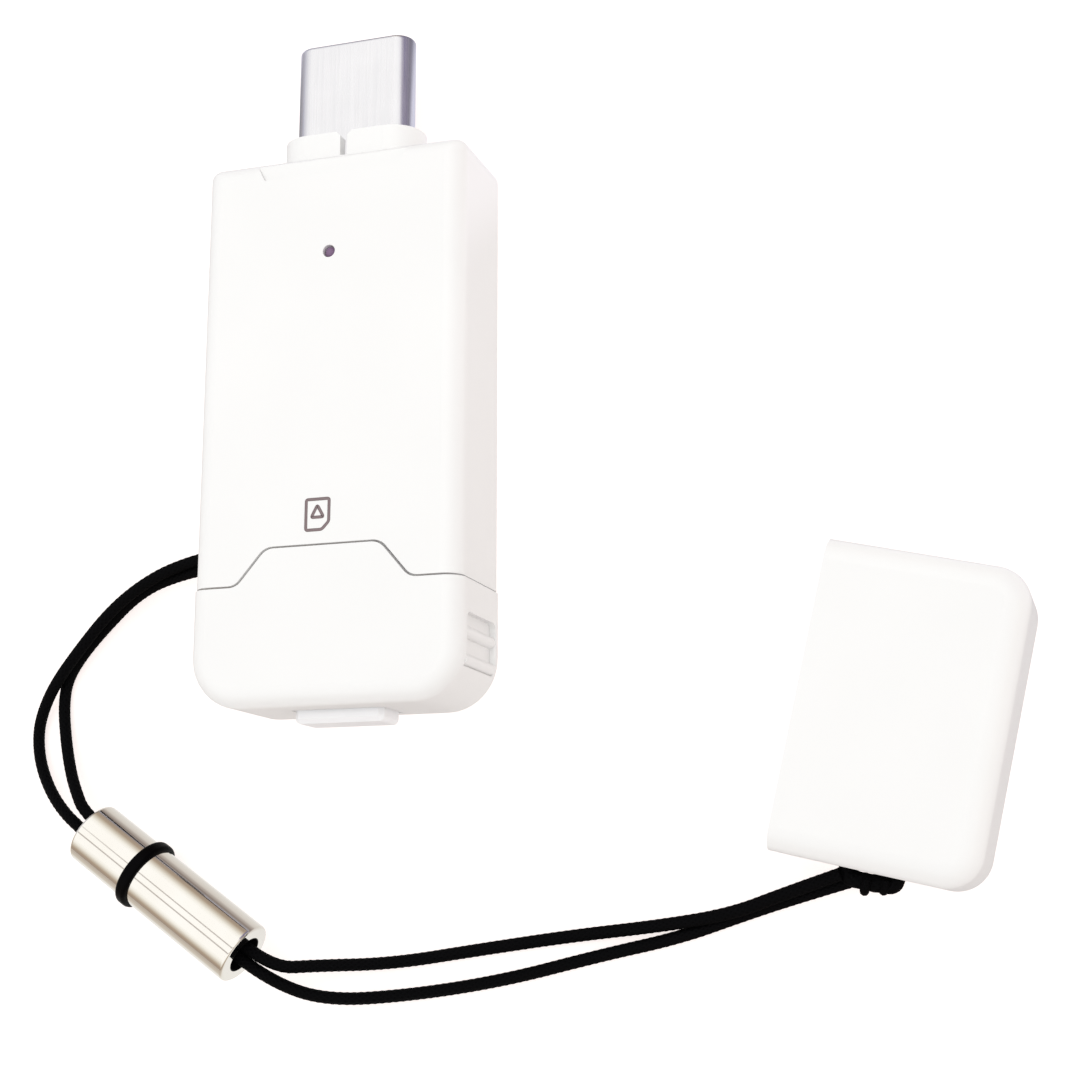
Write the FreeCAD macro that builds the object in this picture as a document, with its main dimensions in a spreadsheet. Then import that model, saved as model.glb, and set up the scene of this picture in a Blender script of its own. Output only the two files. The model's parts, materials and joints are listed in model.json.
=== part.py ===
import FreeCAD, Part
import math
import os

import Sketcher

# Card reader stick for small chip cards, with a pull-off lid over the card mouth and a plug cap on a strap.
# X runs across the reader, Y towards its plug and Z out of its front. Its back lies on z = 0.
# y = 0 is halfway between the lid's end and the shoulder that the plug's collar stands on.

Vector = FreeCAD.Vector
doc = FreeCAD.newDocument("card_reader")
sheet = doc.addObject("Spreadsheet::Sheet", "Sizes")

SIZES = {
    # The card's passage and the walls round it
    "card_width": 15.0,
    "card_length": 25.0,
    "card_clearance": 0.15,
    "spigot_side_wall": 0.47,
    "spigot_front_wall": 0.72,
    "spigot_back_wall": 0.6,
    "head_length": 9.5,
    "top_wall": 1.5,
    "lower_room": 1.62,
    "board_thickness": 0.8,
    "upper_room": 2.0,
    # The housing's edges
    "front_edge_radius": 1.2,
    "back_edge_radius": 0.6,
    "top_corner_radius": 0.7,
    "pry_depth": 0.3,
    "pry_top": 11.0,
    "pry_foot": 9.4,
    "pry_height": 1.5,
    "rim_wall": 0.6,
    "rim_height": 0.7,
    "fit_clearance": 0.05,
    # The lid
    "lid_length": 7.5,
    "lid_wall": 0.8,
    "lid_end_wall": 1.2,
    "lid_clearance": 0.08,
    "lid_proud": 0.1,
    "lid_end_gap": 0.3,
    "seam_gap": 0.12,
    "lid_corner_radius": 3.3,
    "flap_foot": 11.6,
    "flap_top": 7.6,
    "flap_height": 2.35,
    "flap_corner_radius": 1.1,
    "flap_foot_radius": 1.1,
    "grip_length": 3.35,
    "grip_depth": 0.4,
    "grip_back_edge": 0.9,
    "grip_front_edge": 1.4,
    "grip_end": 2.1,
    "grip_corner_radius": 0.5,
    "grip_rib_radius": 0.38,
    "grip_rib_from_end": 0.47,
    "grip_rib_pitch": 1.7,
    # The card guide and its tongue
    "guide_length": 7.0,
    "mouth_chamfer": 0.4,
    "tongue_width": 6.0,
    "tongue_thickness": 2.95,
    "tongue_lift": 0.12,
    "tongue_reach": 0.8,
    "tongue_clearance": 0.15,
    "tongue_corner_radius": 0.35,
    "tongue_chamfer": 0.3,
    # The plug and its collar
    "plug_width": 8.25,
    "plug_thickness": 2.4,
    "plug_reach": 6.9,
    "plug_tail": 5.3,
    "plug_wall": 0.3,
    "plug_tip_radius": 0.27,
    "core_recess": 0.15,
    "plug_slot_width": 6.7,
    "plug_slot_height": 0.9,
    "plug_slot_depth": 5.2,
    "plug_contact_width": 0.25,
    "plug_contact_height": 0.1,
    "plug_contact_length": 4.2,
    "plug_contact_pitch": 0.5,
    "plug_contact_count": 12,
    "solder_tail_length": 0.8,
    "latch_width": 0.16,
    "latch_height": 0.4,
    "latch_length": 3.6,
    "collar_width": 9.8,
    "collar_thickness": 4.2,
    "collar_length": 2.2,
    "collar_slot_width": 0.5,
    "collar_slot_depth": 1.7,
    "collar_slot_bevel": 0.3,
    # The board and what is on it
    "board_margin": 0.25,
    "board_gap": 0.1,
    "post_radius": 0.7,
    "post_inset": 1.2,
    "connector_floor": 0.7,
    "stop_width": 1.0,
    "stop_height": 0.9,
    "contact_width": 0.9,
    "contact_thickness": 0.15,
    "contact_rise": 1.15,
    "contact_span": 3.2,
    "contact_row_pitch": 2.54,
    "contact_column_pitch": 7.62,
    "contact_from_stop": 4.3,
    "contact_slot_margin": 0.3,
    "contact_foot_share": 0.25,
    "contact_crown_share": 0.85,
    "switch_width": 2.0,
    "switch_height": 1.4,
    "switch_foot": 1.1,
    "switch_thickness": 0.15,
    "chip_side": 5.0,
    "chip_height": 0.85,
    "regulator_length": 2.9,
    "regulator_width": 1.6,
    "regulator_height": 1.0,
    "crystal_length": 3.2,
    "crystal_width": 2.5,
    "crystal_height": 0.7,
    "chip_spacing": 0.8,
    "capacitor_length": 1.6,
    "capacitor_width": 0.8,
    "resistor_length": 1.0,
    "resistor_width": 0.5,
    "resistor_height": 0.35,
    "small_part_pitch": 2.2,
    "led_length": 1.6,
    "led_width": 0.8,
    "led_height": 0.6,
    "led_from_shoulder": 6.9,
    "led_hole_radius": 0.42,
    "pipe_clearance": 0.02,
    "pipe_recess": 0.45,
    "pipe_flange_radius": 1.0,
    "pipe_flange_height": 0.6,
    "pipe_gap": 0.1,
    # The strap's eye
    "eye_from_seam": 2.98,
    "eye_width": 3.0,
    "eye_height": 1.4,
    "eye_post_radius": 0.5,
    "eye_post_inset": 2.7,
    # The strap and the barrel that gathers its strands
    "strap_diameter": 0.8,
    "barrel_length": 13.7,
    "barrel_radius": 2.05,
    "barrel_bore_radius": 1.2,
    "barrel_edge_radius": 0.2,
    "barrel_x": -18.27,
    "barrel_y": -25.1,
    "barrel_turn": -34.83,
    "ring_from_end": 4.45,
    "ring_width": 0.85,
    "ring_depth": 0.3,
    "ring_proud": 0.29,
    "ring_edge_radius": 0.25,
    # The cap, taken off and lying beside the reader
    "cap_length": 11.65,
    "cap_wall": 1.2,
    "cap_corner_radius": 2.1,
    "cap_edge_radius": 1.4,
    "cap_x": 40.57,
    "cap_y": -21.08,
    "cap_turn": 76.7,
    "cap_rib_width": 0.8,
    "cap_rib_spread": 6.0,
    "cap_rib_inset": 0.4,
    "cap_eye_from_mouth": 5.2,
    "cap_eye_width": 1.2,
    "cap_eye_height": 1.4,
    "cap_eye_bar": 1.4,
    "hitch_diameter": 1.1,
    "hitch_gap": 0.05,
    "hitch_sunk": 0.9,
}


# Lengths nearer to one another than this are taken as equal, and a cut removes more than the least volume
NEAR = 1e-4
LEAST_CUT = 1e-6
# How far a strand's volume may differ from that of its section along its whole path
VOLUME_TOLERANCE = 0.02
# Places of four like pieces in a row, in steps from the row's middle
ROW_STEPS = (-1.5, -0.5, 0.5, 1.5)


class Size:
    """A length worked out from the sheet: its number now, and the expression that keeps it bound."""

    def __init__(self, value, text):
        self.value = value
        self.text = text

    @staticmethod
    def of(other):
        """Turn a plain number into a Size, and leave a Size as it is."""
        return other if isinstance(other, Size) else Size(float(other), repr(float(other)))

    def joined(self, other, sign, value):
        """Join two sizes with an arithmetic sign."""
        return Size(value, f"({self.text} {sign} {Size.of(other).text})")

    def __add__(self, other):
        return self.joined(other, "+", self.value + Size.of(other).value)

    def __sub__(self, other):
        return self.joined(other, "-", self.value - Size.of(other).value)

    def __mul__(self, other):
        return self.joined(other, "*", self.value * Size.of(other).value)

    def __truediv__(self, other):
        return self.joined(other, "/", self.value / Size.of(other).value)

    def __neg__(self):
        return Size.of(0) - self


class Cells:
    """The sheet's cells by name, each as a Size."""


def fill_sheet():
    """Write each driving dimension to the sheet and return the cells as Sizes."""
    cells = Cells()
    for row, (name, value) in enumerate(SIZES.items(), start=1):
        sheet.set(f"A{row}", name)
        sheet.set(f"B{row}", str(value))
        sheet.setAlias(f"B{row}", name)
        setattr(cells, name, Size(float(value), f"Sizes.{name}"))
    doc.recompute()
    return cells


s = fill_sheet()

# Sizes that follow from the card, the walls and the rooms above and below the board
half_passage = s.card_width / 2 + s.card_clearance
half_spigot = half_passage + s.spigot_side_wall
half_width = half_spigot + s.lid_clearance + s.lid_wall
half_lid = half_width + s.lid_proud
front_wall = s.lid_wall + s.lid_clearance + s.spigot_front_wall
back_wall = s.lid_wall + s.lid_clearance + s.spigot_back_wall
board_z = back_wall + s.lower_room
board_top = board_z + s.board_thickness
ceiling_z = board_top + s.upper_room
front_z = ceiling_z + front_wall
plug_z = board_z + s.board_thickness / 2
spigot_back_z = s.lid_wall + s.lid_clearance
spigot_front_z = front_z - s.lid_wall - s.lid_clearance
card_floor_z = board_top + s.connector_floor

shoulder_y = (s.lid_end_wall + s.lid_end_gap + s.card_length + s.head_length) / 2
end_y = -shoulder_y
rim_y = end_y + s.lid_length
seam_y = rim_y + s.seam_gap
mouth_y = end_y + s.lid_end_wall + s.lid_end_gap
stop_y = mouth_y + s.card_length
chamber_y = shoulder_y - s.top_wall
guide_y = mouth_y + s.guide_length
collar_y = shoulder_y + s.collar_length
tip_y = collar_y + s.plug_reach
tail_y = shoulder_y - s.plug_tail
led_y = shoulder_y - s.led_from_shoulder
board_low_y = guide_y + s.board_gap
board_high_y = tail_y - s.board_gap
half_board = half_passage - s.board_margin
inner_corner = s.lid_corner_radius - s.lid_end_wall
tongue_low_z = back_wall + s.tongue_lift
tongue_high_z = tongue_low_z + s.tongue_thickness
eye_y = seam_y + s.eye_from_seam
eye_post_x = s.eye_post_inset - half_width
zero = Size.of(0)


def bind(thing, name, size):
    """Tie a property of a document object to the sheet."""
    thing.setExpression(name, size.text)


def new_body(label):
    """Start a sub-part as a body whose features follow one another."""
    body = doc.addObject("PartDesign::Body", label)
    body.Label = label
    body.AllowCompound = True
    return body


def new_sketch(body, role, level):
    """Attach a sketch to one of the body's own planes, at a level along the plane's normal."""
    sketch = body.newObject("Sketcher::SketchObject", "Outline")
    plane = next(feature for feature in body.Origin.OriginFeatures if feature.Role == role)
    sketch.AttachmentSupport = [(plane, "")]
    sketch.MapMode = "FlatFace"
    bind(sketch, "AttachmentOffset.Base.z", level)
    return sketch


def constrain(sketch, size, kind, *places):
    """Add one driven dimension to a sketch."""
    index = sketch.addConstraint(Sketcher.Constraint(kind, *places, size.value))
    bind(sketch, f"Constraints[{index}]", size)


def pin_point(sketch, curve, end, x, y):
    """Fix a curve's end or centre by its two distances from the sketch's origin."""
    constrain(sketch, x, "DistanceX", -1, 1, curve, end)
    constrain(sketch, y, "DistanceY", -1, 1, curve, end)


def flat(x, y):
    """The point of a sketch at two sizes."""
    return Vector(x.value, y.value, 0)


def polygon(sketch, points):
    """Draw a closed outline of straight sides through the given corners."""
    corners = [flat(x, y) for x, y in points]
    sides = [Part.LineSegment(a, b) for a, b in zip(corners, corners[1:] + corners[:1])]
    lines = sketch.addGeometry(sides, False)
    for line, following in zip(lines, lines[1:] + lines[:1]):
        sketch.addConstraint(Sketcher.Constraint("Coincident", line, 2, following, 1))
    for line, (x, y) in zip(lines, points):
        pin_point(sketch, line, 1, x, y)


def rectangle(sketch, x_low, x_high, y_low, y_high):
    """Draw an upright rectangle between four sizes."""
    polygon(sketch, [(x_low, y_low), (x_high, y_low), (x_high, y_high), (x_low, y_high)])


def disc(sketch, x, y, radius):
    """Draw a circle."""
    curve = sketch.addGeometry(Part.Circle(flat(x, y), Vector(0, 0, 1), radius.value), False)
    pin_point(sketch, curve, 3, x, y)
    constrain(sketch, radius, "Radius", curve)


def arc(x, y, radius, start, stop):
    """A circular arc of a sketch, anticlockwise between two angles in degrees."""
    ring = Part.Circle(flat(x, y), Vector(0, 0, 1), radius.value)
    return Part.ArcOfCircle(ring, math.radians(start), math.radians(stop))


def slot(sketch, half_span, height, radius):
    """Draw a lying slot outline: two flat sides joined by two half rounds."""
    left, right = -half_span, half_span
    top, low = height + radius, height - radius
    upper, right_end, lower, left_end = sketch.addGeometry([
        Part.LineSegment(flat(left, top), flat(right, top)),
        arc(right, height, radius, -90, 90),
        Part.LineSegment(flat(right, low), flat(left, low)),
        arc(left, height, radius, 90, 270),
    ], False)
    for first, first_end, second, second_end in (
            (upper, 2, right_end, 2), (right_end, 1, lower, 1),
            (lower, 2, left_end, 2), (left_end, 1, upper, 1)):
        sketch.addConstraint(Sketcher.Constraint("Tangent", first, first_end, second, second_end))
    pin_point(sketch, right_end, 3, right, height)
    pin_point(sketch, left_end, 3, left, height)
    constrain(sketch, radius, "Radius", right_end)
    constrain(sketch, radius, "Radius", left_end)


def thimble(sketch, half_span, low, high, radius):
    """Draw a plan outline that is square at its high end and has rounded corners at its low end."""
    left, right = -half_span, half_span
    left_side, left_corner, foot, right_corner, right_side, mouth = sketch.addGeometry([
        Part.LineSegment(flat(left, high), flat(left, low + radius)),
        arc(left + radius, low + radius, radius, 180, 270),
        Part.LineSegment(flat(left + radius, low), flat(right - radius, low)),
        arc(right - radius, low + radius, radius, 270, 360),
        Part.LineSegment(flat(right, low + radius), flat(right, high)),
        Part.LineSegment(flat(right, high), flat(left, high)),
    ], False)
    for first, first_end, second, second_end in (
            (left_side, 2, left_corner, 1), (left_corner, 2, foot, 1),
            (foot, 2, right_corner, 1), (right_corner, 2, right_side, 1)):
        sketch.addConstraint(Sketcher.Constraint("Tangent", first, first_end, second, second_end))
    sketch.addConstraint(Sketcher.Constraint("Coincident", right_side, 2, mouth, 1))
    sketch.addConstraint(Sketcher.Constraint("Coincident", mouth, 2, left_side, 1))
    pin_point(sketch, left_side, 1, left, high)
    pin_point(sketch, right_side, 2, right, high)
    pin_point(sketch, left_corner, 3, left + radius, low + radius)
    pin_point(sketch, right_corner, 3, right - radius, low + radius)
    constrain(sketch, radius, "Radius", left_corner)
    constrain(sketch, radius, "Radius", right_corner)


def pad(body, sketch, length, backwards=False):
    """Raise a sketch into the body by a length along its normal."""
    feature = body.newObject("PartDesign::Pad", "Raised")
    feature.Profile = sketch
    bind(feature, "Length", length)
    feature.Reversed = backwards
    doc.recompute()
    return feature


def pocket(body, sketch, length, backwards=False):
    """Cut a sketch out of the body by a length against its normal, and make sure that it cuts."""
    before = body.Shape.Volume
    feature = body.newObject("PartDesign::Pocket", "Cut")
    feature.Profile = sketch
    bind(feature, "Length", length)
    feature.Reversed = backwards
    doc.recompute()
    if body.Shape.Volume > before - LEAST_CUT:
        raise ValueError(f"a cut in {body.Label} removes nothing")
    return feature


def block(body, x_low, x_high, y_low, y_high, z_low, z_high):
    """Raise a rectangular block of a body."""
    sketch = new_sketch(body, "XY_Plane", z_low)
    rectangle(sketch, x_low, x_high, y_low, y_high)
    return pad(body, sketch, z_high - z_low)


def block_cut(body, x_low, x_high, y_low, y_high, z_low, z_high):
    """Cut a rectangular block out of a body."""
    sketch = new_sketch(body, "XY_Plane", z_high)
    rectangle(sketch, x_low, x_high, y_low, y_high)
    return pocket(body, sketch, z_high - z_low)


def edge_names(shape, places, but=None):
    """Name the edges whose ends all lie at one of the places, given as axis and size pairs."""
    def lies(edge, place):
        return all(abs(getattr(end.Point, axis) - size.value) < NEAR
                   for end in edge.Vertexes for axis, size in place.items())

    return [f"Edge{number}" for number, edge in enumerate(shape.Edges, start=1)
            if any(lies(edge, place) for place in places) and not (but and lies(edge, but))]


def soften(body, kind, size, places, but=None):
    """Round or bevel the edges of a body that lie at the places."""
    base = body.Tip
    feature = body.newObject(f"PartDesign::{kind}", kind)
    feature.Base = (base, edge_names(base.Shape, places, but))
    bind(feature, "Radius" if kind == "Fillet" else "Size", size)
    doc.recompute()
    return feature


def revolve(body, points, role, axis):
    """Turn an outline once round an axis of its sketch."""
    sketch = new_sketch(body, role, zero)
    polygon(sketch, points)
    feature = body.newObject("PartDesign::Revolution", "Turned")
    feature.Profile = sketch
    feature.ReferenceAxis = (sketch, [axis])
    feature.Angle = 360
    doc.recompute()
    return feature


def box_part(label, x_low, x_high, y_low, y_high, z_low, z_high):
    """A plain block as a primitive, such as a component on the board."""
    part = doc.addObject("Part::Box", label)
    part.Label = label
    bind(part, "Length", x_high - x_low)
    bind(part, "Width", y_high - y_low)
    bind(part, "Height", z_high - z_low)
    for axis, size in zip("xyz", (x_low, y_low, z_low)):
        bind(part, f"Placement.Base.{axis}", size)
    return part


def group(label, parts):
    """Gather like pieces as one sub-part of separate solids."""
    gathered = doc.addObject("Part::Compound", label)
    gathered.Label = label
    gathered.Links = parts
    return gathered


def make_front_shell():
    """The front half of the housing: front, sides, spigot for the lid, and the plug's collar."""
    body = new_body("front_shell")
    block(body, -half_width, half_width, seam_y, shoulder_y, back_wall, front_z)
    soften(body, "Fillet", s.top_corner_radius,
           [{"x": -half_width, "y": shoulder_y}, {"x": half_width, "y": shoulder_y}])
    soften(body, "Fillet", s.front_edge_radius,
           [{"x": -half_width, "z": front_z}, {"x": half_width, "z": front_z}])
    spigot = new_sketch(body, "XY_Plane", back_wall)
    thimble(spigot, half_spigot, mouth_y, seam_y + s.lid_wall, inner_corner)
    pad(body, spigot, spigot_front_z - back_wall)
    collar = new_sketch(body, "XZ_Plane", -shoulder_y)
    slot(collar, (s.collar_width - s.collar_thickness) / 2, plug_z, s.collar_thickness / 2)
    pad(body, collar, s.collar_length, backwards=True)
    chamber = new_sketch(body, "XY_Plane", ceiling_z)
    rectangle(chamber, -half_passage, half_passage, mouth_y - s.lid_end_gap, chamber_y)
    pocket(body, chamber, ceiling_z - back_wall)
    throat = new_sketch(body, "XZ_Plane", -collar_y)
    slot(throat, (s.plug_width - s.plug_thickness) / 2, plug_z, s.plug_thickness / 2 + s.fit_clearance)
    pocket(body, throat, s.collar_length + s.top_wall, backwards=True)
    half_slot = s.collar_slot_width / 2
    block_cut(body, -half_slot, half_slot, collar_y - s.collar_slot_depth, collar_y + s.fit_clearance,
              plug_z, plug_z + s.collar_thickness)
    soften(body, "Chamfer", s.collar_slot_bevel,
           [{"x": -half_slot, "y": collar_y}, {"x": half_slot, "y": collar_y}])
    flap = new_sketch(body, "XY_Plane", front_z)
    flap_outline(flap, s.seam_gap)
    pocket(body, flap, s.lid_wall + s.lid_clearance)
    round_flap(body, s.seam_gap)
    pry = new_sketch(body, "XY_Plane", front_z)
    pry_foot_y, pry_top_y = shoulder_y - s.pry_height, shoulder_y + s.fit_clearance
    polygon(pry, [(-s.pry_foot / 2, pry_foot_y), (s.pry_foot / 2, pry_foot_y),
                  (s.pry_top / 2, pry_top_y), (-s.pry_top / 2, pry_top_y)])
    pocket(body, pry, s.pry_depth)
    window = new_sketch(body, "XY_Plane", front_z)
    disc(window, zero, led_y, s.led_hole_radius)
    pocket(body, window, front_wall)
    block_cut(body, -half_width - s.fit_clearance, -half_passage + s.fit_clearance, eye_y - s.eye_width / 2,
              eye_y + s.eye_width / 2, back_wall, back_wall + s.eye_height)
    return body


def flap_corners(margin):
    """Half width and place along the reader of the flap's foot and head, each widened by a margin."""
    foot = (s.flap_foot / 2 + margin, rim_y + margin)
    head = (s.flap_top / 2 + margin, rim_y + s.flap_height + margin)
    return foot, head


def flap_outline(sketch, margin):
    """Draw the lid's tapered front flap, widened by a margin, from just below the seam."""
    (foot, foot_y), (head, head_y) = flap_corners(margin)
    low = rim_y - s.lid_wall
    polygon(sketch, [(-foot, low), (foot, low), (foot, foot_y),
                     (head, head_y), (-head, head_y), (-foot, foot_y)])


def round_flap(body, margin):
    """Round the four corners of the flap, or of its seat in the front shell."""
    (foot, foot_y), (head, head_y) = flap_corners(margin)
    soften(body, "Fillet", s.flap_corner_radius + margin,
           [{"x": -head, "y": head_y}, {"x": head, "y": head_y}])
    soften(body, "Fillet", s.flap_foot_radius - margin,
           [{"x": -foot, "y": foot_y}, {"x": foot, "y": foot_y}])


def make_back_shell():
    """The back half of the housing: a plate with a rim, the board's posts and the strap's post."""
    body = new_body("back_shell")
    block(body, -half_width, half_width, seam_y, shoulder_y, zero, back_wall)
    soften(body, "Fillet", s.top_corner_radius,
           [{"x": -half_width, "y": shoulder_y}, {"x": half_width, "y": shoulder_y}])
    soften(body, "Fillet", s.back_edge_radius,
           [{"x": -half_width, "z": zero}, {"x": half_width, "z": zero}])
    spigot = new_sketch(body, "XY_Plane", spigot_back_z)
    thimble(spigot, half_spigot, mouth_y, seam_y + s.lid_wall, inner_corner)
    pad(body, spigot, back_wall - spigot_back_z)
    rim = new_sketch(body, "XY_Plane", back_wall)
    outer = half_passage - s.fit_clearance
    inner = outer - s.rim_wall
    rim_low, rim_high = guide_y + s.board_gap, chamber_y - s.fit_clearance
    rectangle(rim, -outer, outer, rim_low, rim_high)
    rectangle(rim, -inner, inner, rim_low + s.rim_wall, rim_high - s.rim_wall)
    pad(body, rim, s.rim_height)
    block_cut(body, -outer - s.fit_clearance, -inner + s.fit_clearance, eye_y - s.eye_width / 2,
              eye_y + s.eye_width / 2, back_wall, back_wall + s.rim_height)
    posts = new_sketch(body, "XY_Plane", back_wall)
    post_x = half_board - s.post_inset
    disc(posts, eye_post_x, eye_y, s.eye_post_radius)
    disc(posts, post_x, board_low_y + s.post_inset, s.post_radius)
    disc(posts, post_x, board_high_y - s.post_inset, s.post_radius)
    disc(posts, -post_x, board_high_y - s.post_inset, s.post_radius)
    pad(body, posts, s.lower_room)
    return body


def make_lid():
    """The pull-off lid: a sleeve over the spigot with a front flap, side grips and a slot for the tongue."""
    body = new_body("lid")
    outer = new_sketch(body, "XY_Plane", zero)
    thimble(outer, half_lid, end_y, rim_y, s.lid_corner_radius)
    pad(body, outer, front_z)
    soften(body, "Fillet", s.front_edge_radius, [{"z": front_z}], but={"y": rim_y})
    soften(body, "Fillet", s.back_edge_radius, [{"z": zero}], but={"y": rim_y})
    flap = new_sketch(body, "XY_Plane", front_z - s.lid_wall)
    flap_outline(flap, zero)
    pad(body, flap, s.lid_wall)
    round_flap(body, zero)
    cavity = new_sketch(body, "XY_Plane", front_z - s.lid_wall)
    thimble(cavity, half_width - s.lid_wall, end_y + s.lid_end_wall, seam_y + s.lid_end_gap, inner_corner)
    pocket(body, cavity, front_z - s.lid_wall * 2)
    half_slot = s.tongue_width / 2 + s.tongue_clearance
    block_cut(body, -half_slot, half_slot, end_y - s.lid_end_gap, end_y + s.lid_end_wall + s.lid_end_gap,
              tongue_low_z - s.tongue_clearance, tongue_high_z + s.tongue_clearance)
    grip_low, grip_high = s.grip_back_edge, front_z - s.grip_front_edge
    grip_foot = end_y + s.grip_end
    first_rib = grip_foot + s.grip_rib_from_end
    for side in (-1, 1):
        near, far = half_lid - s.grip_depth, half_lid + s.grip_depth
        edges = (near * side, far * side) if side > 0 else (far * side, near * side)
        block_cut(body, *edges, grip_foot, grip_foot + s.grip_length, grip_low, grip_high)
        ribs = new_sketch(body, "XY_Plane", grip_low)
        for place in (first_rib, first_rib + s.grip_rib_pitch):
            disc(ribs, near * side, place, s.grip_rib_radius)
        pad(body, ribs, grip_high - grip_low)
    grip_top = grip_foot + s.grip_length
    soften(body, "Fillet", s.grip_corner_radius,
           [{"y": grip_top, "z": grip_low}, {"y": grip_top, "z": grip_high}])
    return body


def make_card_guide():
    """The inner guide below the card's mouth, with the tongue that comes out through the lid's end."""
    body = new_body("card_guide")
    base = new_sketch(body, "XY_Plane", back_wall)
    thimble(base, half_passage - s.fit_clearance, mouth_y, guide_y, inner_corner)
    pad(body, base, card_floor_z - back_wall)
    soften(body, "Chamfer", s.mouth_chamfer, [{"y": mouth_y, "z": card_floor_z}])
    tip = end_y - s.tongue_reach
    half_tongue = s.tongue_width / 2
    block(body, -half_tongue, half_tongue, tip, mouth_y + s.lid_end_gap, tongue_low_z, tongue_high_z)
    soften(body, "Fillet", s.tongue_corner_radius,
           [{"x": -half_tongue, "y": tip}, {"x": half_tongue, "y": tip}])
    soften(body, "Chamfer", s.tongue_chamfer,
           [{"y": tip, "z": tongue_low_z}, {"y": tip, "z": tongue_high_z}])
    return body


def make_plug():
    """The plug: a seamless metal shell, its insulating core, two rows of contacts and two side latches."""
    half_span = (s.plug_width - s.plug_thickness) / 2
    radius = s.plug_thickness / 2
    shell = new_body("usb_shell")
    outside = new_sketch(shell, "XZ_Plane", -tail_y)
    slot(outside, half_span, plug_z, radius)
    pad(shell, outside, tip_y - tail_y, backwards=True)
    soften(shell, "Fillet", s.plug_tip_radius, [{"y": tip_y}])
    inside = new_sketch(shell, "XZ_Plane", -tip_y)
    slot(inside, half_span, plug_z, radius - s.plug_wall)
    pocket(shell, inside, tip_y - tail_y, backwards=True)

    core_tip = tip_y - s.core_recess
    core = new_body("usb_core")
    core_outline = new_sketch(core, "XZ_Plane", -tail_y)
    slot(core_outline, half_span, plug_z, radius - s.plug_wall)
    pad(core, core_outline, core_tip - tail_y, backwards=True)
    half_slot, half_gap = s.plug_slot_width / 2, s.plug_slot_height / 2
    slot_foot = core_tip - s.plug_slot_depth
    block_cut(core, -half_slot, half_slot, slot_foot, core_tip + s.core_recess,
              plug_z - half_gap, plug_z + half_gap)

    contacts = new_body("usb_contacts")
    row = s.plug_contact_pitch * (s.plug_contact_count - 1)
    left = -row / 2 - s.plug_contact_width / 2
    right = left + s.plug_contact_width
    reach = slot_foot + s.plug_contact_length
    thick = s.plug_contact_height
    fingers = [
        block(contacts, left, right, slot_foot, reach, plug_z + half_gap - thick, plug_z + half_gap),
        block(contacts, left, right, slot_foot, reach, plug_z - half_gap, plug_z - half_gap + thick),
        block(contacts, left, right, tail_y - s.solder_tail_length, tail_y, board_top, board_top + thick),
        block(contacts, left, right, tail_y - s.solder_tail_length, tail_y, board_z - thick, board_z),
    ]
    pattern = contacts.newObject("PartDesign::LinearPattern", "Row")
    pattern.Originals = fingers
    x_axis = next(axis for axis in contacts.Origin.OriginFeatures if axis.Role == "X_Axis")
    pattern.Direction = (x_axis, [""])
    bind(pattern, "Length", row)
    bind(pattern, "Occurrences", s.plug_contact_count)
    contacts.Tip = pattern

    latch_x = half_slot - s.latch_width
    latches = group("usb_latches", [
        box_part(name, low, low + s.latch_width, slot_foot, slot_foot + s.latch_length,
                 plug_z - s.latch_height / 2, plug_z + s.latch_height / 2)
        for name, low in (("left_latch", -half_slot), ("right_latch", latch_x))])
    return [shell, core, contacts, latches]


def make_board():
    """The circuit board, which lies on the back shell's posts."""
    return box_part("circuit_board", -half_board, half_board, board_low_y, board_high_y, board_z, board_top)


def contact_places():
    """The foot of each card contact: three rows across, two columns along the card."""
    rows = [s.contact_row_pitch * step for step in (-1, 0, 1)]
    last = stop_y - s.contact_from_stop
    return [(x, y) for y in (last - s.contact_column_pitch, last) for x in rows]


def make_card_connector():
    """The card's floor on the board with its end stop, the sprung contacts and the card switch."""
    floor = new_body("card_connector")
    block(floor, -half_board, half_board, board_low_y, stop_y + s.stop_width, board_top, card_floor_z)
    block(floor, -half_board, half_board, stop_y, stop_y + s.stop_width,
          card_floor_z, card_floor_z + s.stop_height)
    windows = new_sketch(floor, "XY_Plane", card_floor_z)
    half_slot = s.contact_width / 2 + s.contact_slot_margin
    for x, y in contact_places():
        rectangle(windows, x - half_slot, x + half_slot, y - s.contact_slot_margin,
                  y + s.contact_span + s.contact_slot_margin)
    pocket(floor, windows, s.connector_floor)

    springs = new_body("card_contacts")
    for x, y in contact_places():
        leaf = new_sketch(springs, "YZ_Plane", x - s.contact_width / 2)
        foot = y + s.contact_span * s.contact_foot_share
        crown = y + s.contact_span * s.contact_crown_share
        toe = y + s.contact_span
        crown_z, thick = board_top + s.contact_rise, s.contact_thickness
        toe_z = crown_z - thick * 2
        polygon(leaf, [(y, board_top), (foot, board_top), (crown, crown_z - thick), (toe, toe_z - thick),
                       (toe, toe_z), (crown, crown_z), (foot - thick, board_top + thick),
                       (y, board_top + thick)])
        pad(springs, leaf, s.contact_width)

    switch = new_body("card_switch")
    profile = new_sketch(switch, "YZ_Plane", half_board - s.post_inset - s.switch_width)
    back = stop_y + s.stop_width
    thick = s.switch_thickness
    toe = back + s.switch_foot
    polygon(profile, [(back, board_top), (toe, board_top), (toe, board_top + thick),
                      (back + thick, board_top + thick), (back + thick, board_top + s.switch_height),
                      (back, board_top + s.switch_height)])
    pad(switch, profile, s.switch_width)
    return [floor, springs, switch]


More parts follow.
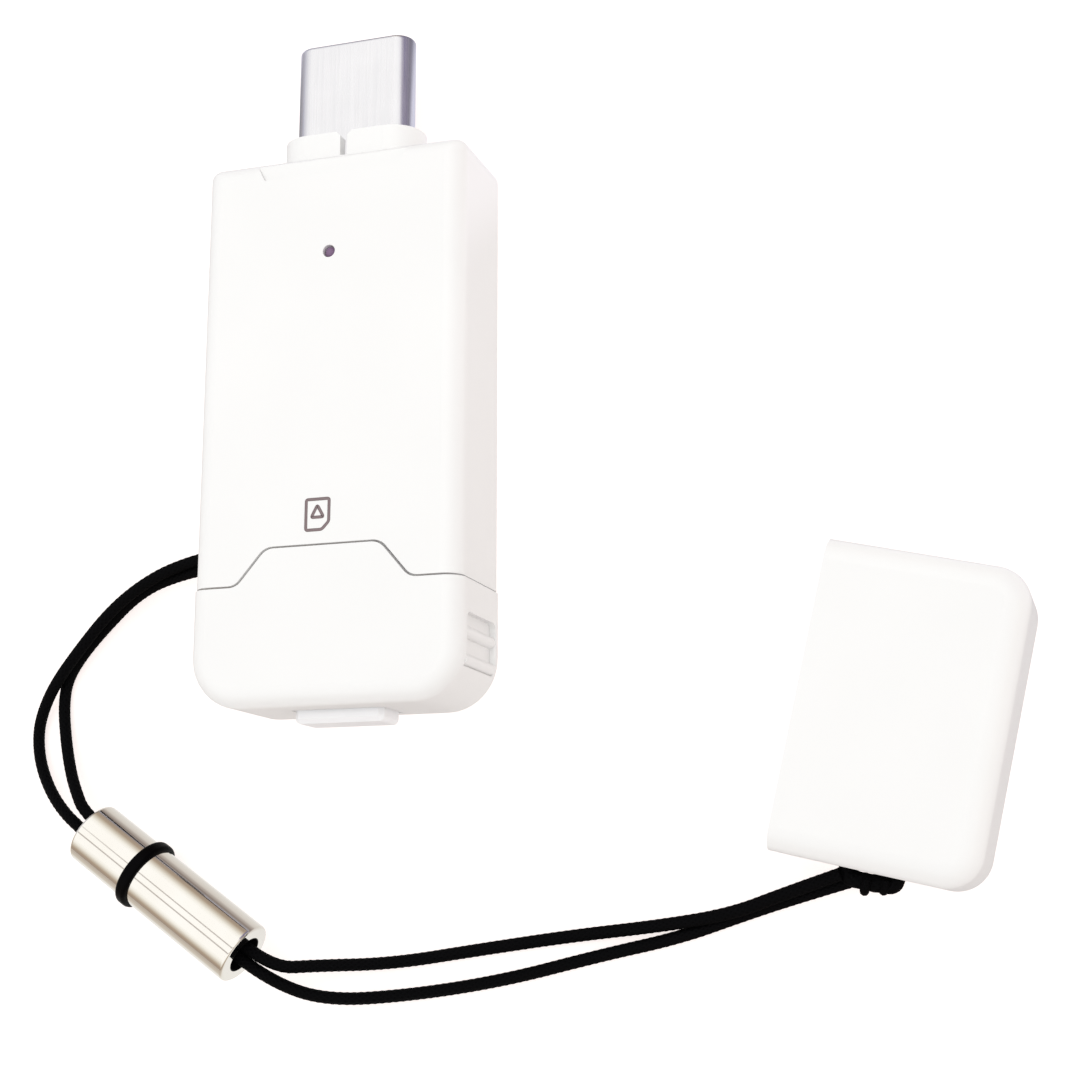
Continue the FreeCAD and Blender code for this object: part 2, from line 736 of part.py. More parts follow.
def make_components():
    """The parts under the board: the reader chip, a regulator, a crystal, capacitors and resistors."""
    middle = (stop_y + mouth_y) / 2 + s.chip_side
    half_chip = s.chip_side / 2
    chip = box_part("reader_chip", -half_chip, half_chip, middle - half_chip, middle + half_chip,
                    board_z - s.chip_height, board_z)
    beside = half_chip + s.chip_spacing
    crystal = box_part("crystal", beside, beside + s.crystal_width, middle - s.crystal_length / 2,
                       middle + s.crystal_length / 2, board_z - s.crystal_height, board_z)
    regulator = box_part("regulator", -beside - s.regulator_width, -beside, middle - s.regulator_length / 2,
                         middle + s.regulator_length / 2, board_z - s.regulator_height, board_z)
    above = middle + half_chip + s.chip_spacing
    below = middle - half_chip - s.chip_spacing
    capacitors = []
    resistors = []
    for number, step in enumerate(ROW_STEPS, start=1):
        x = s.small_part_pitch * step
        capacitors.append(box_part(f"capacitor_{number}", x - s.capacitor_width / 2, x + s.capacitor_width / 2,
                                   below - s.capacitor_length, below, board_z - s.capacitor_width, board_z))
        resistors.append(box_part(f"resistor_{number}", x - s.resistor_width / 2, x + s.resistor_width / 2,
                                  above, above + s.resistor_length, board_z - s.resistor_height, board_z))
    return [chip, crystal, regulator, group("capacitors", capacitors), group("resistors", resistors)]


def make_light():
    """The status light on the board and the small pipe that leads it to the front."""
    led = box_part("status_led", -s.led_length / 2, s.led_length / 2, led_y - s.led_width / 2,
                   led_y + s.led_width / 2, board_top, board_top + s.led_height)
    pipe = new_body("light_pipe")
    stem = s.led_hole_radius - s.pipe_clearance
    low = board_top + s.led_height + s.pipe_gap
    revolve(pipe, [(zero, low), (stem, low), (stem, ceiling_z - s.pipe_flange_height),
                   (s.pipe_flange_radius, ceiling_z - s.pipe_flange_height), (s.pipe_flange_radius, ceiling_z),
                   (stem, ceiling_z), (stem, front_z - s.pipe_recess), (zero, front_z - s.pipe_recess)],
            "XZ_Plane", "V_Axis")
    bind(pipe, "Placement.Base.y", led_y)
    return [led, pipe]


def lay_barrel_part(body):
    """Turn a part of the barrel from its own X axis to where the barrel lies on the table."""
    body.Placement = FreeCAD.Placement(Vector(), FreeCAD.Rotation(Vector(0, 0, 1), s.barrel_turn.value))
    for axis, size in zip("xyz", (s.barrel_x, s.barrel_y, s.barrel_radius + s.ring_proud)):
        bind(body, f"Placement.Base.{axis}", size)
    bind(body, "Placement.Rotation.Angle", s.barrel_turn)


def make_barrel():
    """The metal barrel that gathers the strap's two strands, and the rubber ring in its groove."""
    groove_low = s.ring_from_end
    groove_high = groove_low + s.ring_width
    groove_radius = s.barrel_radius - s.ring_depth
    barrel = new_body("barrel")
    tube = revolve(barrel, [(zero, s.barrel_bore_radius), (s.barrel_length, s.barrel_bore_radius),
                            (s.barrel_length, s.barrel_radius), (groove_high, s.barrel_radius),
                            (groove_high, groove_radius), (groove_low, groove_radius),
                            (groove_low, s.barrel_radius), (zero, s.barrel_radius)], "XY_Plane", "H_Axis")
    round_rims(barrel, tube, s.barrel_radius, s.barrel_edge_radius)
    lay_barrel_part(barrel)
    ring = new_body("barrel_ring")
    ring_radius = s.barrel_radius + s.ring_proud
    band = revolve(ring, [(groove_low, groove_radius), (groove_high, groove_radius),
                          (groove_high, ring_radius), (groove_low, ring_radius)], "XY_Plane", "H_Axis")
    round_rims(ring, band, ring_radius, s.ring_edge_radius)
    lay_barrel_part(ring)
    return [barrel, ring]


def round_rims(body, turned, radius, edge_radius):
    """Round the outermost circles at the two ends of a turned part that is not yet laid down."""
    rims = [(edge.Curve.Center.x, f"Edge{number}") for number, edge in enumerate(turned.Shape.Edges, start=1)
            if isinstance(edge.Curve, Part.Circle) and abs(edge.Curve.Radius - radius.value) < NEAR]
    fillet = body.newObject("PartDesign::Fillet", "Rims")
    fillet.Base = (turned, [min(rims)[1], max(rims)[1]])
    bind(fillet, "Radius", edge_radius)


def make_cap():
    """The plug's cap, drawn from its closed end at y = 0 to its mouth, then laid down beside the reader."""
    body = new_body("cap")
    outer = new_sketch(body, "XY_Plane", zero)
    thimble(outer, half_width, zero, s.cap_length, s.cap_corner_radius)
    pad(body, outer, front_z)
    mouth = {"y": s.cap_length}
    soften(body, "Fillet", s.cap_edge_radius, [{"z": front_z}], but=mouth)
    soften(body, "Fillet", s.back_edge_radius, [{"z": zero}], but=mouth)
    cavity = new_sketch(body, "XY_Plane", front_z - s.cap_wall)
    thimble(cavity, half_width - s.cap_wall, s.cap_wall, s.cap_length + s.cap_rib_inset,
            s.cap_corner_radius - s.cap_wall)
    pocket(body, cavity, front_z - s.cap_wall * 2)
    rib_low, rib_high = s.cap_length - s.collar_length, s.cap_length - s.cap_rib_inset
    collar_low = plug_z - s.collar_thickness / 2 - s.fit_clearance
    collar_high = plug_z + s.collar_thickness / 2 + s.fit_clearance
    for level, top in ((s.cap_wall, collar_low), (collar_high, front_z - s.cap_wall)):
        ribs = new_sketch(body, "XY_Plane", level)
        for side in (-1, 1):
            middle = s.cap_rib_spread / 2 * side
            rectangle(ribs, middle - s.cap_rib_width / 2, middle + s.cap_rib_width / 2, rib_low, rib_high)
        pad(body, ribs, top - level)
    eyes = new_sketch(body, "XY_Plane", s.cap_wall + s.cap_eye_height)
    for side in (-1, 1):
        middle = s.cap_length - s.cap_eye_from_mouth + (s.cap_eye_bar + s.cap_eye_width) / 2 * side
        rectangle(eyes, -half_width - s.fit_clearance, -half_width + s.cap_wall + s.fit_clearance,
                  middle - s.cap_eye_width / 2, middle + s.cap_eye_width / 2)
    pocket(body, eyes, s.cap_eye_height)
    lay_cap_part(body)
    return body


def lay_cap_part(part):
    """Turn a part drawn with the cap to where the cap lies on the table."""
    part.Placement = FreeCAD.Placement(Vector(), FreeCAD.Rotation(Vector(0, 0, 1), s.cap_turn.value))
    bind(part, "Placement.Base.x", s.cap_x)
    bind(part, "Placement.Base.y", s.cap_y)
    bind(part, "Placement.Rotation.Angle", s.cap_turn)


# The strap's strands, from the reader's eye through the barrel to the hitch on the cap, point by point
OUTER_STRAND = [
    (-7.0, -8.35, 2.18), (-5.35, -8.35, 2.18), (-5.35, -6.45, 2.18), (-7.5, -6.47, 2.18),
    (-9.8, -6.85, 2.18), (-13.41, -7.72, 2.12), (-16.1, -8.9, 1.85), (-18.47, -10.49, 1.5),
    (-20.65, -12.89, 1.4), (-22.46, -15.2, 1.34), (-23.85, -17.23, 0.55), (-24.01, -18.96, 0.42),
    (-23.37, -20.87, 0.7), (-21.74, -23.0, 1.45), (-19.43, -25.02, 2.3), (-6.13, -34.27, 2.3),
    (-2.2, -35.72, 1.3), (3.4, -35.5, 0.42), (9.6, -34.5, 0.42), (15.6, -33.1, 0.42),
    (20.6, -32.1, 0.42), (24.4, -31.0, 0.55), (27.6, -29.92, 1.1), (30.91, -29.06, 1.85),
]
INNER_STRAND = [
    (-7.0, -8.35, 2.18), (-8.6, -8.35, 2.18), (-14.11, -8.34, 1.2), (-16.83, -9.18, 0.62),
    (-18.94, -10.93, 0.42), (-20.82, -12.88, 0.42), (-21.99, -14.66, 0.42), (-22.16, -16.48, 0.42),
    (-21.77, -18.6, 0.6), (-21.15, -20.41, 1.0), (-20.3, -22.03, 1.6), (-18.75, -24.04, 2.3),
    (-5.86, -33.0, 2.3), (-3.0, -34.0, 1.4), (2.2, -33.45, 0.46), (8.0, -32.75, 0.42),
    (14.0, -31.9, 0.42), (19.4, -31.15, 0.42), (23.8, -30.3, 0.55), (27.2, -29.08, 1.1),
    (30.55, -28.31, 1.85),
]
ARC_SHARE = 0.45


def strand_path(label, route):
    """Straight runs joined by tangent arcs, each as large as its two runs allow."""
    points = [Vector(*point) for point in route]
    edges = []
    start = points[0]
    radii = []
    for before, corner, after in zip(points, points[1:], points[2:]):
        back = before - corner
        ahead = after - corner
        shorter = min(back.Length, ahead.Length)
        turn = math.pi - back.getAngle(ahead)
        reach = ARC_SHARE * shorter
        radii.append(reach / math.tan(turn / 2))
        back.normalize()
        ahead.normalize()
        enter = corner + back * reach
        leave = corner + ahead * reach
        inward = back + ahead
        inward.normalize()
        depth = math.hypot(reach, radii[-1]) - radii[-1]
        edges.append(Part.LineSegment(start, enter).toShape())
        edges.append(Part.Arc(enter, corner + inward * depth, leave).toShape())
        start = leave
    edges.append(Part.LineSegment(start, points[-1]).toShape())
    path = Part.Wire(edges)
    print(f"{label}: {path.Length:.1f} mm long, arcs", " ".join(f"{radius:.1f}" for radius in radii))
    return path


def make_strand(label, route, diameter):
    """One strand or turn of the strap as a plain round tube."""
    path = strand_path(label, route)
    first, second = Vector(*route[0]), Vector(*route[1])
    radius = diameter.value / 2
    section = Part.Wire([Part.makeCircle(radius, first, second - first)])
    tube = path.makePipeShell([section], True, True)
    expected = math.pi * radius ** 2 * path.Length
    if abs(tube.Volume / expected - 1) > VOLUME_TOLERANCE:
        raise ValueError(f"{label} is not as thick as its section all along")
    strand = doc.addObject("Part::Feature", label)
    strand.Label = label
    strand.Shape = tube
    return strand


def make_hitch():
    """The strap's hitch on the cap's side wall: a thick turn of cord, in at one eye and out at the other."""
    outside = -half_width - s.hitch_gap - s.hitch_diameter / 2
    inside = -half_width + s.hitch_sunk
    middle = s.cap_length - s.cap_eye_from_mouth
    spread = (s.cap_eye_bar + s.cap_eye_width) / 2
    z = s.cap_wall + s.cap_eye_height / 2
    corners = [(inside, middle - spread), (outside, middle - spread),
               (outside, middle + spread), (inside, middle + spread)]
    hitch = make_strand("cap_hitch", [(x.value, y.value, z.value) for x, y in corners], s.hitch_diameter)
    lay_cap_part(hitch)
    return hitch


def write_parts(parts):
    """Check that every object was worked out and every sub-part is sound, then write each one's file."""
    doc.recompute()
    failed = [thing.Label for thing in doc.Objects if {"Invalid", "Error"} & set(thing.State)]
    if failed:
        raise ValueError(f"not worked out: {failed}")
    for part in parts:
        if part.Shape.isNull() or not part.Shape.isValid() or not part.Shape.Solids:
            raise ValueError(f"{part.Label} has no sound solid")
    os.makedirs("parts", exist_ok=True)
    for part in parts:
        part.Shape.exportStep(f"parts/{part.Label}.step")


write_parts([
    make_front_shell(), make_back_shell(), make_lid(), make_card_guide(), *make_plug(), make_board(),
    *make_card_connector(), *make_components(), *make_light(), *make_barrel(), make_cap(), make_hitch(),
    make_strand("strap_outer_strand", OUTER_STRAND, s.strap_diameter),
    make_strand("strap_inner_strand", INNER_STRAND, s.strap_diameter),
])
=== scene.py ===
"""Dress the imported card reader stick.

It makes the finishes of the solids, the braided strap, the printed mark and the studio.
"""

import json
import logging
from dataclasses import dataclass, field
from enum import Enum

import bmesh
import bpy
import numpy as np
from mathutils import Matrix, Vector

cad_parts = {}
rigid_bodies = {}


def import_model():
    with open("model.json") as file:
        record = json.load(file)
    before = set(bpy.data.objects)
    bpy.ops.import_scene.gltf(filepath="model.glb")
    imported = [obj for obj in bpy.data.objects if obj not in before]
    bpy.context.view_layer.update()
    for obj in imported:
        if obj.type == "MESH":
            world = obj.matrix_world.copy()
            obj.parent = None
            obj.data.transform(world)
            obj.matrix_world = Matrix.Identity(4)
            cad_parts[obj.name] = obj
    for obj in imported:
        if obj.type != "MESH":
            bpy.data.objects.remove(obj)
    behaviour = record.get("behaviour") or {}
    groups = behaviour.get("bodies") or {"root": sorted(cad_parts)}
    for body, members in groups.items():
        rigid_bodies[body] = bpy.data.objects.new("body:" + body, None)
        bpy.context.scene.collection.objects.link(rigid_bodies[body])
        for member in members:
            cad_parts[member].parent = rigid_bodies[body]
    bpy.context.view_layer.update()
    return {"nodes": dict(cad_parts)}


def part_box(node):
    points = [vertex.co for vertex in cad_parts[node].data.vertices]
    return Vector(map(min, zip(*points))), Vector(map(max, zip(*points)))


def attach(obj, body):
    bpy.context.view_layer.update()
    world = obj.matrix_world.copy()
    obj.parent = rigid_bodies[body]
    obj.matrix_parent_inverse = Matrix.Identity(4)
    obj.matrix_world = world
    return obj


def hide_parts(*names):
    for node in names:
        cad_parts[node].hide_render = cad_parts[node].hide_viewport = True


log = logging.getLogger("card_reader")

MM = 0.001

# Points that lie nearer than this are joined, in metres.
MERGE_DISTANCE = 1e-7
# Points that a smooth line has between two of its control points, and the fewest runs of an even line.
LINE_RESOLUTION = 24
FEWEST_RUNS = 8
# Most of a noise's values lie between these two.
NOISE_LOW = 0.3
NOISE_HIGH = 0.7
# Octaves of a fine and of a broad noise.
FINE_OCTAVES = 3.0
BROAD_OCTAVES = 2.0
# How much longer drawn lines are than wide, and the waves per metre of a metal's colour.
LINE_STRETCH = 60.0
METAL_DRIFT = 300.0

WHITE = (1.0, 1.0, 1.0)
BLACK = (0.0, 0.0, 0.0)

Array = np.ndarray
Colour = tuple[float, float, float]
Point = tuple[float, float, float]
Stops = tuple[tuple[float, Colour], ...]
Outline = tuple[tuple[float, float], ...]
Operand = bpy.types.NodeSocket | float


class Body(Enum):
    """The body that new pieces ride on."""

    READER = "reader"


class Slot(Enum):
    """The record's material slots that new pieces take their finish from."""

    SMOKED = "smoked_plastic"
    STRAP = "strap"
    WHITE = "white_plastic"


class Step(Enum):
    """Steps of arithmetic between shader sockets."""

    ADD = "ADD"
    SUBTRACT = "SUBTRACT"
    MULTIPLY = "MULTIPLY"
    ABSOLUTE = "ABSOLUTE"
    COSINE = "COSINE"
    GREATER = "GREATER_THAN"
    LESS = "LESS_THAN"
    LARGEST = "MAXIMUM"
    ANGLE = "ARCTAN2"


class Shader:
    """A node tree with short ways to add nodes and to join their sockets."""

    def __init__(self, tree: bpy.types.NodeTree) -> None:
        """Keep the tree that nodes are added to."""
        self.tree = tree

    def add(self, kind: str, **settings: object) -> bpy.types.Node:
        """Add a node.

        Args:
            kind: type name of the node.
            settings: attributes set on the node.

        Returns:
            The new node.
        """
        node = self.tree.nodes.new(kind)
        for name, value in settings.items():
            setattr(node, name, value)
        return node

    def feed(self, socket: bpy.types.NodeSocket, value: object) -> None:
        """Join a socket to another, or set its constant.

        Args:
            socket: input to feed.
            value: an output socket, or a plain value.
        """
        if isinstance(value, bpy.types.NodeSocket):
            self.tree.links.new(value, socket)
        else:
            socket.default_value = value

    def calc(self, step: Step, *operands: Operand) -> bpy.types.NodeSocket:
        """Do one step of arithmetic.

        Args:
            step: which step.
            operands: sockets or numbers, in order.

        Returns:
            The socket with the result.
        """
        node = self.add("ShaderNodeMath", operation=step.value)
        for socket, operand in zip(node.inputs, operands):
            self.feed(socket, operand)
        return node.outputs[0]

    def noise(self, vector: bpy.types.NodeSocket, scale: Operand, detail: float) -> bpy.types.NodeSocket:
        """Add a noise texture.

        Args:
            vector: coordinates it reads.
            scale: waves per metre.
            detail: octaves on top of the first.

        Returns:
            Its value, about 0.5 on average.
        """
        node = self.add("ShaderNodeTexNoise")
        self.feed(node.inputs["Vector"], vector)
        self.feed(node.inputs["Scale"], scale)
        node.inputs["Detail"].default_value = detail
        return node.outputs["Fac"]

    def span(self, value: bpy.types.NodeSocket, low: float, high: float) -> bpy.types.NodeSocket:
        """Spread the middle of a noise's values over a range.

        Args:
            value: noise to spread.
            low: result at the low end of a noise's values and below.
            high: result at their high end and above.

        Returns:
            The socket with the result.
        """
        node = self.add("ShaderNodeMapRange")
        self.feed(node.inputs["Value"], value)
        node.inputs["From Min"].default_value = NOISE_LOW
        node.inputs["From Max"].default_value = NOISE_HIGH
        node.inputs["To Min"].default_value = low
        node.inputs["To Max"].default_value = high
        return node.outputs["Result"]

    def blend(self, share: Operand, first: object, second: object) -> bpy.types.NodeSocket:
        """Mix two colours.

        Args:
            share: 0 for the first colour, 1 for the second.
            first: a colour or a socket.
            second: a colour or a socket.

        Returns:
            The socket with the mixed colour.
        """
        node = self.add("ShaderNodeMix", data_type="RGBA")
        self.feed(node.inputs["Factor"], share)
        for socket, colour in ((node.inputs["A"], first), (node.inputs["B"], second)):
            self.feed(socket, colour if isinstance(colour, bpy.types.NodeSocket) else (*colour, 1.0))
        return node.outputs["Result"]

    def along(self, vector: bpy.types.NodeSocket, direction: Point) -> bpy.types.NodeSocket:
        """Measure a vector along a direction.

        Args:
            vector: the vector's socket.
            direction: unit direction.

        Returns:
            The socket with the length.
        """
        node = self.add("ShaderNodeVectorMath", operation="DOT_PRODUCT")
        self.feed(node.inputs[0], vector)
        node.inputs[1].default_value = direction
        return node.outputs["Value"]

    def ramp(self, value: bpy.types.NodeSocket, low: float, high: float,
             stops: Stops) -> bpy.types.NodeSocket:
        """Turn a value into colours.

        Args:
            value: the value's socket.
            low: value at the ramp's start.
            high: value at the ramp's end.
            stops: values, each with its colour, in rising order.

        Returns:
            The socket with the colour.
        """
        spread = self.add("ShaderNodeMapRange")
        self.feed(spread.inputs["Value"], value)
        spread.inputs["From Min"].default_value = low
        spread.inputs["From Max"].default_value = high
        node = self.add("ShaderNodeValToRGB")
        elements = node.color_ramp.elements
        while len(elements) < len(stops):
            elements.new(1.0)
        for element, (place, colour) in zip(elements, stops):
            element.position = (place - low) / (high - low)
            element.color = (*colour, 1.0)
        self.feed(node.inputs["Fac"], spread.outputs["Result"])
        return node.outputs["Color"]

    def bump(self, height: bpy.types.NodeSocket, depth: float) -> bpy.types.NodeSocket:
        """Turn a height into a normal.

        Args:
            height: height from 0 to 1.
            depth: metres between the two.

        Returns:
            The socket with the normal.
        """
        node = self.add("ShaderNodeBump")
        node.inputs["Distance"].default_value = depth
        self.feed(node.inputs["Height"], height)
        return node.outputs["Normal"]


class Effects:
    """Node groups that several finishes share."""

    def __init__(self) -> None:
        """Make the groups."""
        self.grain = self._group("moulded_grain", ("Grain scale", "Drift scale"), ("Grain", "Drift"))
        self.lines = self._group("drawn_lines", ("Turn", "Line scale"), ("Lines", "Drift"))
        self._fill_grain()
        self._fill_lines()

    @staticmethod
    def _group(name: str, takes: tuple[str, ...], gives: tuple[str, ...]) -> bpy.types.NodeTree:
        """Make an empty group.

        Args:
            name: name of the group.
            takes: names of its number inputs.
            gives: names of its number outputs.

        Returns:
            The group's tree.
        """
        tree = bpy.data.node_groups.new(name, "ShaderNodeTree")
        for names, side in ((takes, "INPUT"), (gives, "OUTPUT")):
            for socket in names:
                tree.interface.new_socket(socket, in_out=side, socket_type="NodeSocketFloat")
        return tree

    def _fill_grain(self) -> None:
        """A moulded surface: fine noise for its grain, and broad noise for the drift of its colour."""
        shader = Shader(self.grain)
        given = shader.add("NodeGroupInput")
        result = shader.add("NodeGroupOutput")
        place = shader.add("ShaderNodeTexCoord").outputs["Object"]
        grain = shader.noise(place, given.outputs["Grain scale"], FINE_OCTAVES)
        drift = shader.noise(place, given.outputs["Drift scale"], BROAD_OCTAVES)
        shader.feed(result.inputs["Grain"], grain)
        shader.feed(result.inputs["Drift"], drift)

    def _fill_lines(self) -> None:
        """Drawn metal: noise stretched along the drawing direction, which is turned about the vertical."""
        shader = Shader(self.lines)
        given = shader.add("NodeGroupInput")
        result = shader.add("NodeGroupOutput")
        place = shader.add("ShaderNodeTexCoord").outputs["Object"]
        turn = shader.add("ShaderNodeCombineXYZ")
        shader.feed(turn.inputs["Z"], given.outputs["Turn"])
        mapping = shader.add("ShaderNodeMapping")
        shader.feed(mapping.inputs["Vector"], place)
        shader.feed(mapping.inputs["Rotation"], turn.outputs["Vector"])
        mapping.inputs["Scale"].default_value = (1.0, 1.0 / LINE_STRETCH, 1.0)
        lines = shader.noise(mapping.outputs["Vector"], given.outputs["Line scale"], BROAD_OCTAVES)
        drift = shader.noise(place, METAL_DRIFT, BROAD_OCTAVES)
        shader.feed(result.inputs["Lines"], lines)
        shader.feed(result.inputs["Drift"], drift)


def new_material(name: str) -> tuple[bpy.types.Material, Shader, bpy.types.Node]:
    """Make a material with a Principled shader.

    Args:
        name: name of the material.

    Returns:
        The material, its tree with helpers, and the Principled node.
    """
    material = bpy.data.materials.new(name)
    material.use_nodes = True
    return material, Shader(material.node_tree), material.node_tree.nodes["Principled BSDF"]


@dataclass(frozen=True)
class Moulded:
    """A moulded plastic, rubber, ink or resin whose colour drifts a little over a fine grain.

    The colour goes from `colour` to `drift` and the roughness over `roughness`. Grain and drift are
    waves per metre, and the grain's depth is in metres.
    """

    name: str
    colour: Colour
    drift: Colour
    roughness: tuple[float, float]
    grain: float = 6000.0
    drift_scale: float = 120.0
    depth: float = 0.000002
    coat: float = 0.0
    gloss: float = 0.5

    def make(self, effects: Effects) -> bpy.types.Material:
        """Make the material.

        Args:
            effects: the shared groups.

        Returns:
            The material.
        """
        material, shader, surface = new_material(self.name)
        grain = shader.add("ShaderNodeGroup", node_tree=effects.grain)
        grain.inputs["Grain scale"].default_value = self.grain
        grain.inputs["Drift scale"].default_value = self.drift_scale
        tint = shader.blend(shader.span(grain.outputs["Drift"], 0.0, 1.0), self.colour, self.drift)
        shader.feed(surface.inputs["Base Color"], tint)
        shader.feed(surface.inputs["Roughness"], shader.span(grain.outputs["Grain"], *self.roughness))
        shader.feed(surface.inputs["Normal"], shader.bump(grain.outputs["Grain"], self.depth))
        surface.inputs["Specular IOR Level"].default_value = self.gloss
        surface.inputs["Coat Weight"].default_value = self.coat
        return material


@dataclass(frozen=True)
class BoreShade:
    """Painted shade inside a tube, which is also left unpolished: what lies nearer than `radius` to its
    axis, in metres, is coloured near black and made rougher.
    """

    start: Point
    direction: Point
    radius: float
    # near-black colour of the painted shade in the bore
    colour: Colour = (0.012, 0.011, 0.01)
    roughness: float = 0.6

    def mask(self, shader: Shader) -> bpy.types.NodeSocket:
        """Find where the shade is painted by the distance from the axis.

        Args:
            shader: tree of the material.

        Returns:
            The socket that is 1 where the shade is painted and 0 elsewhere.
        """
        from_start = shader.add("ShaderNodeVectorMath", operation="SUBTRACT")
        shader.feed(from_start.inputs[0], shader.add("ShaderNodeTexCoord").outputs["Object"])
        from_start.inputs[1].default_value = self.start
        across = shader.add("ShaderNodeVectorMath", operation="CROSS_PRODUCT")
        shader.feed(across.inputs[0], from_start.outputs["Vector"])
        across.inputs[1].default_value = self.direction
        distance = shader.add("ShaderNodeVectorMath", operation="LENGTH")
        shader.feed(distance.inputs[0], across.outputs["Vector"])
        return shader.calc(Step.LESS, distance.outputs["Value"], self.radius)


@dataclass(frozen=True)
class Drawn:
    """A drawn, rolled or plated metal with fine lines.

    The colour goes from `colour` to `drift` and the roughness over `roughness`. The lines run along Y,
    turned by `turn` about the vertical in radians, with `lines` waves per metre across them, and they
    are `depth` metres deep.
    """

    name: str
    colour: Colour
    drift: Colour
    roughness: tuple[float, float]
    lines: float = 9000.0
    turn: float = 0.0
    depth: float = 0.0000005
    bore_shade: BoreShade | None = None

    def make(self, effects: Effects) -> bpy.types.Material:
        """Make the material.

        Args:
            effects: the shared groups.

        Returns:
            The material.
        """
        material, shader, surface = new_material(self.name)
        lines = shader.add("ShaderNodeGroup", node_tree=effects.lines)
        lines.inputs["Turn"].default_value = self.turn
        lines.inputs["Line scale"].default_value = self.lines
        tint = shader.blend(shader.span(lines.outputs["Drift"], 0.0, 1.0), self.colour, self.drift)
        rough = shader.span(lines.outputs["Lines"], *self.roughness)
        if self.bore_shade:
            # Painted shade: the bore is coloured near black, and it is also made rougher.
            bore_shade_mask = self.bore_shade.mask(shader)
            tint = shader.blend(bore_shade_mask, tint, self.bore_shade.colour)
            dull = shader.calc(Step.MULTIPLY, bore_shade_mask, self.bore_shade.roughness)
            rough = shader.calc(Step.LARGEST, rough, dull)
        shader.feed(surface.inputs["Base Color"], tint)
        shader.feed(surface.inputs["Roughness"], rough)
        shader.feed(surface.inputs["Normal"], shader.bump(lines.outputs["Lines"], self.depth))
        surface.inputs["Metallic"].default_value = 1.0
        return material


@dataclass(frozen=True)
class Braided:
    """Black braided cord: yarns cross at two slants over the cord's own coordinates.

    U goes once round the cord and V once for each turn's length along it. Fine fibres add `fibre_height` to
    the yarns' height of 1, which is `depth` metres.
    """

    name: str = "braided_strap"
    # painted shade: `low` colours the grooves between the yarns, `high` their crests
    low: Colour = (0.0003, 0.0003, 0.0004)
    high: Colour = (0.0018, 0.0018, 0.0022)
    yarns: int = 8
    fibres: float = 90.0
    fibre_height: float = 0.3
    roughness: tuple[float, float] = (0.55, 0.75)
    depth: float = 0.00003
    gloss: float = 0.04

    def make(self) -> bpy.types.Material:
        """Make the material.

        Returns:
            The material.
        """
        material, shader, surface = new_material(self.name)
        place = shader.add("ShaderNodeTexCoord").outputs["UV"]
        axes = shader.add("ShaderNodeSeparateXYZ")
        shader.feed(axes.inputs["Vector"], place)
        around = shader.calc(Step.MULTIPLY, axes.outputs["X"], np.pi * self.yarns)
        along = shader.calc(Step.MULTIPLY, axes.outputs["Y"], np.pi * self.yarns)
        slants = []
        for step in (Step.ADD, Step.SUBTRACT):
            wave = shader.calc(Step.COSINE, shader.calc(step, around, along))
            slants.append(shader.calc(Step.ABSOLUTE, wave))
        yarn = shader.calc(Step.LARGEST, *slants)
        fibre = shader.noise(place, self.fibres, BROAD_OCTAVES)
        height = shader.calc(Step.ADD, yarn, shader.calc(Step.MULTIPLY, fibre, self.fibre_height))
        # Painted shade: the grooves between the yarns are coloured darker and the crests lighter.
        shader.feed(surface.inputs["Base Color"], shader.blend(yarn, self.low, self.high))
        shader.feed(surface.inputs["Roughness"], shader.span(fibre, *self.roughness))
        shader.feed(surface.inputs["Normal"], shader.bump(height, self.depth))
        surface.inputs["Specular IOR Level"].default_value = self.gloss
        return material


@dataclass(frozen=True)
class Tinned:
    """A ceramic chip part with tinned ends.

    Tin lies where Y is further than `body_half` from the row's middle `row_y`, in metres.
    """

    name: str
    colour: Colour
    row_y: float
    body_half: float
    tin: Colour = (0.72, 0.72, 0.7)
    roughness: tuple[float, float] = (0.3, 0.5)
    grain: float = 9000.0
    drift_scale: float = 900.0
    depth: float = 0.000002

    def make(self, effects: Effects) -> bpy.types.Material:
        """Make the material.

        Args:
            effects: the shared groups.

        Returns:
            The material.
        """
        material, shader, surface = new_material(self.name)
        axes = shader.add("ShaderNodeSeparateXYZ")
        shader.feed(axes.inputs["Vector"], shader.add("ShaderNodeTexCoord").outputs["Object"])
        away = shader.calc(Step.ABSOLUTE, shader.calc(Step.SUBTRACT, axes.outputs["Y"], self.row_y))
        ends = shader.calc(Step.GREATER, away, self.body_half)
        grain = shader.add("ShaderNodeGroup", node_tree=effects.grain)
        grain.inputs["Grain scale"].default_value = self.grain
        grain.inputs["Drift scale"].default_value = self.drift_scale
        shader.feed(surface.inputs["Base Color"], shader.blend(ends, self.colour, self.tin))
        shader.feed(surface.inputs["Metallic"], ends)
        shader.feed(surface.inputs["Roughness"], shader.span(grain.outputs["Drift"], *self.roughness))
        shader.feed(surface.inputs["Normal"], shader.bump(grain.outputs["Grain"], self.depth))
        return material


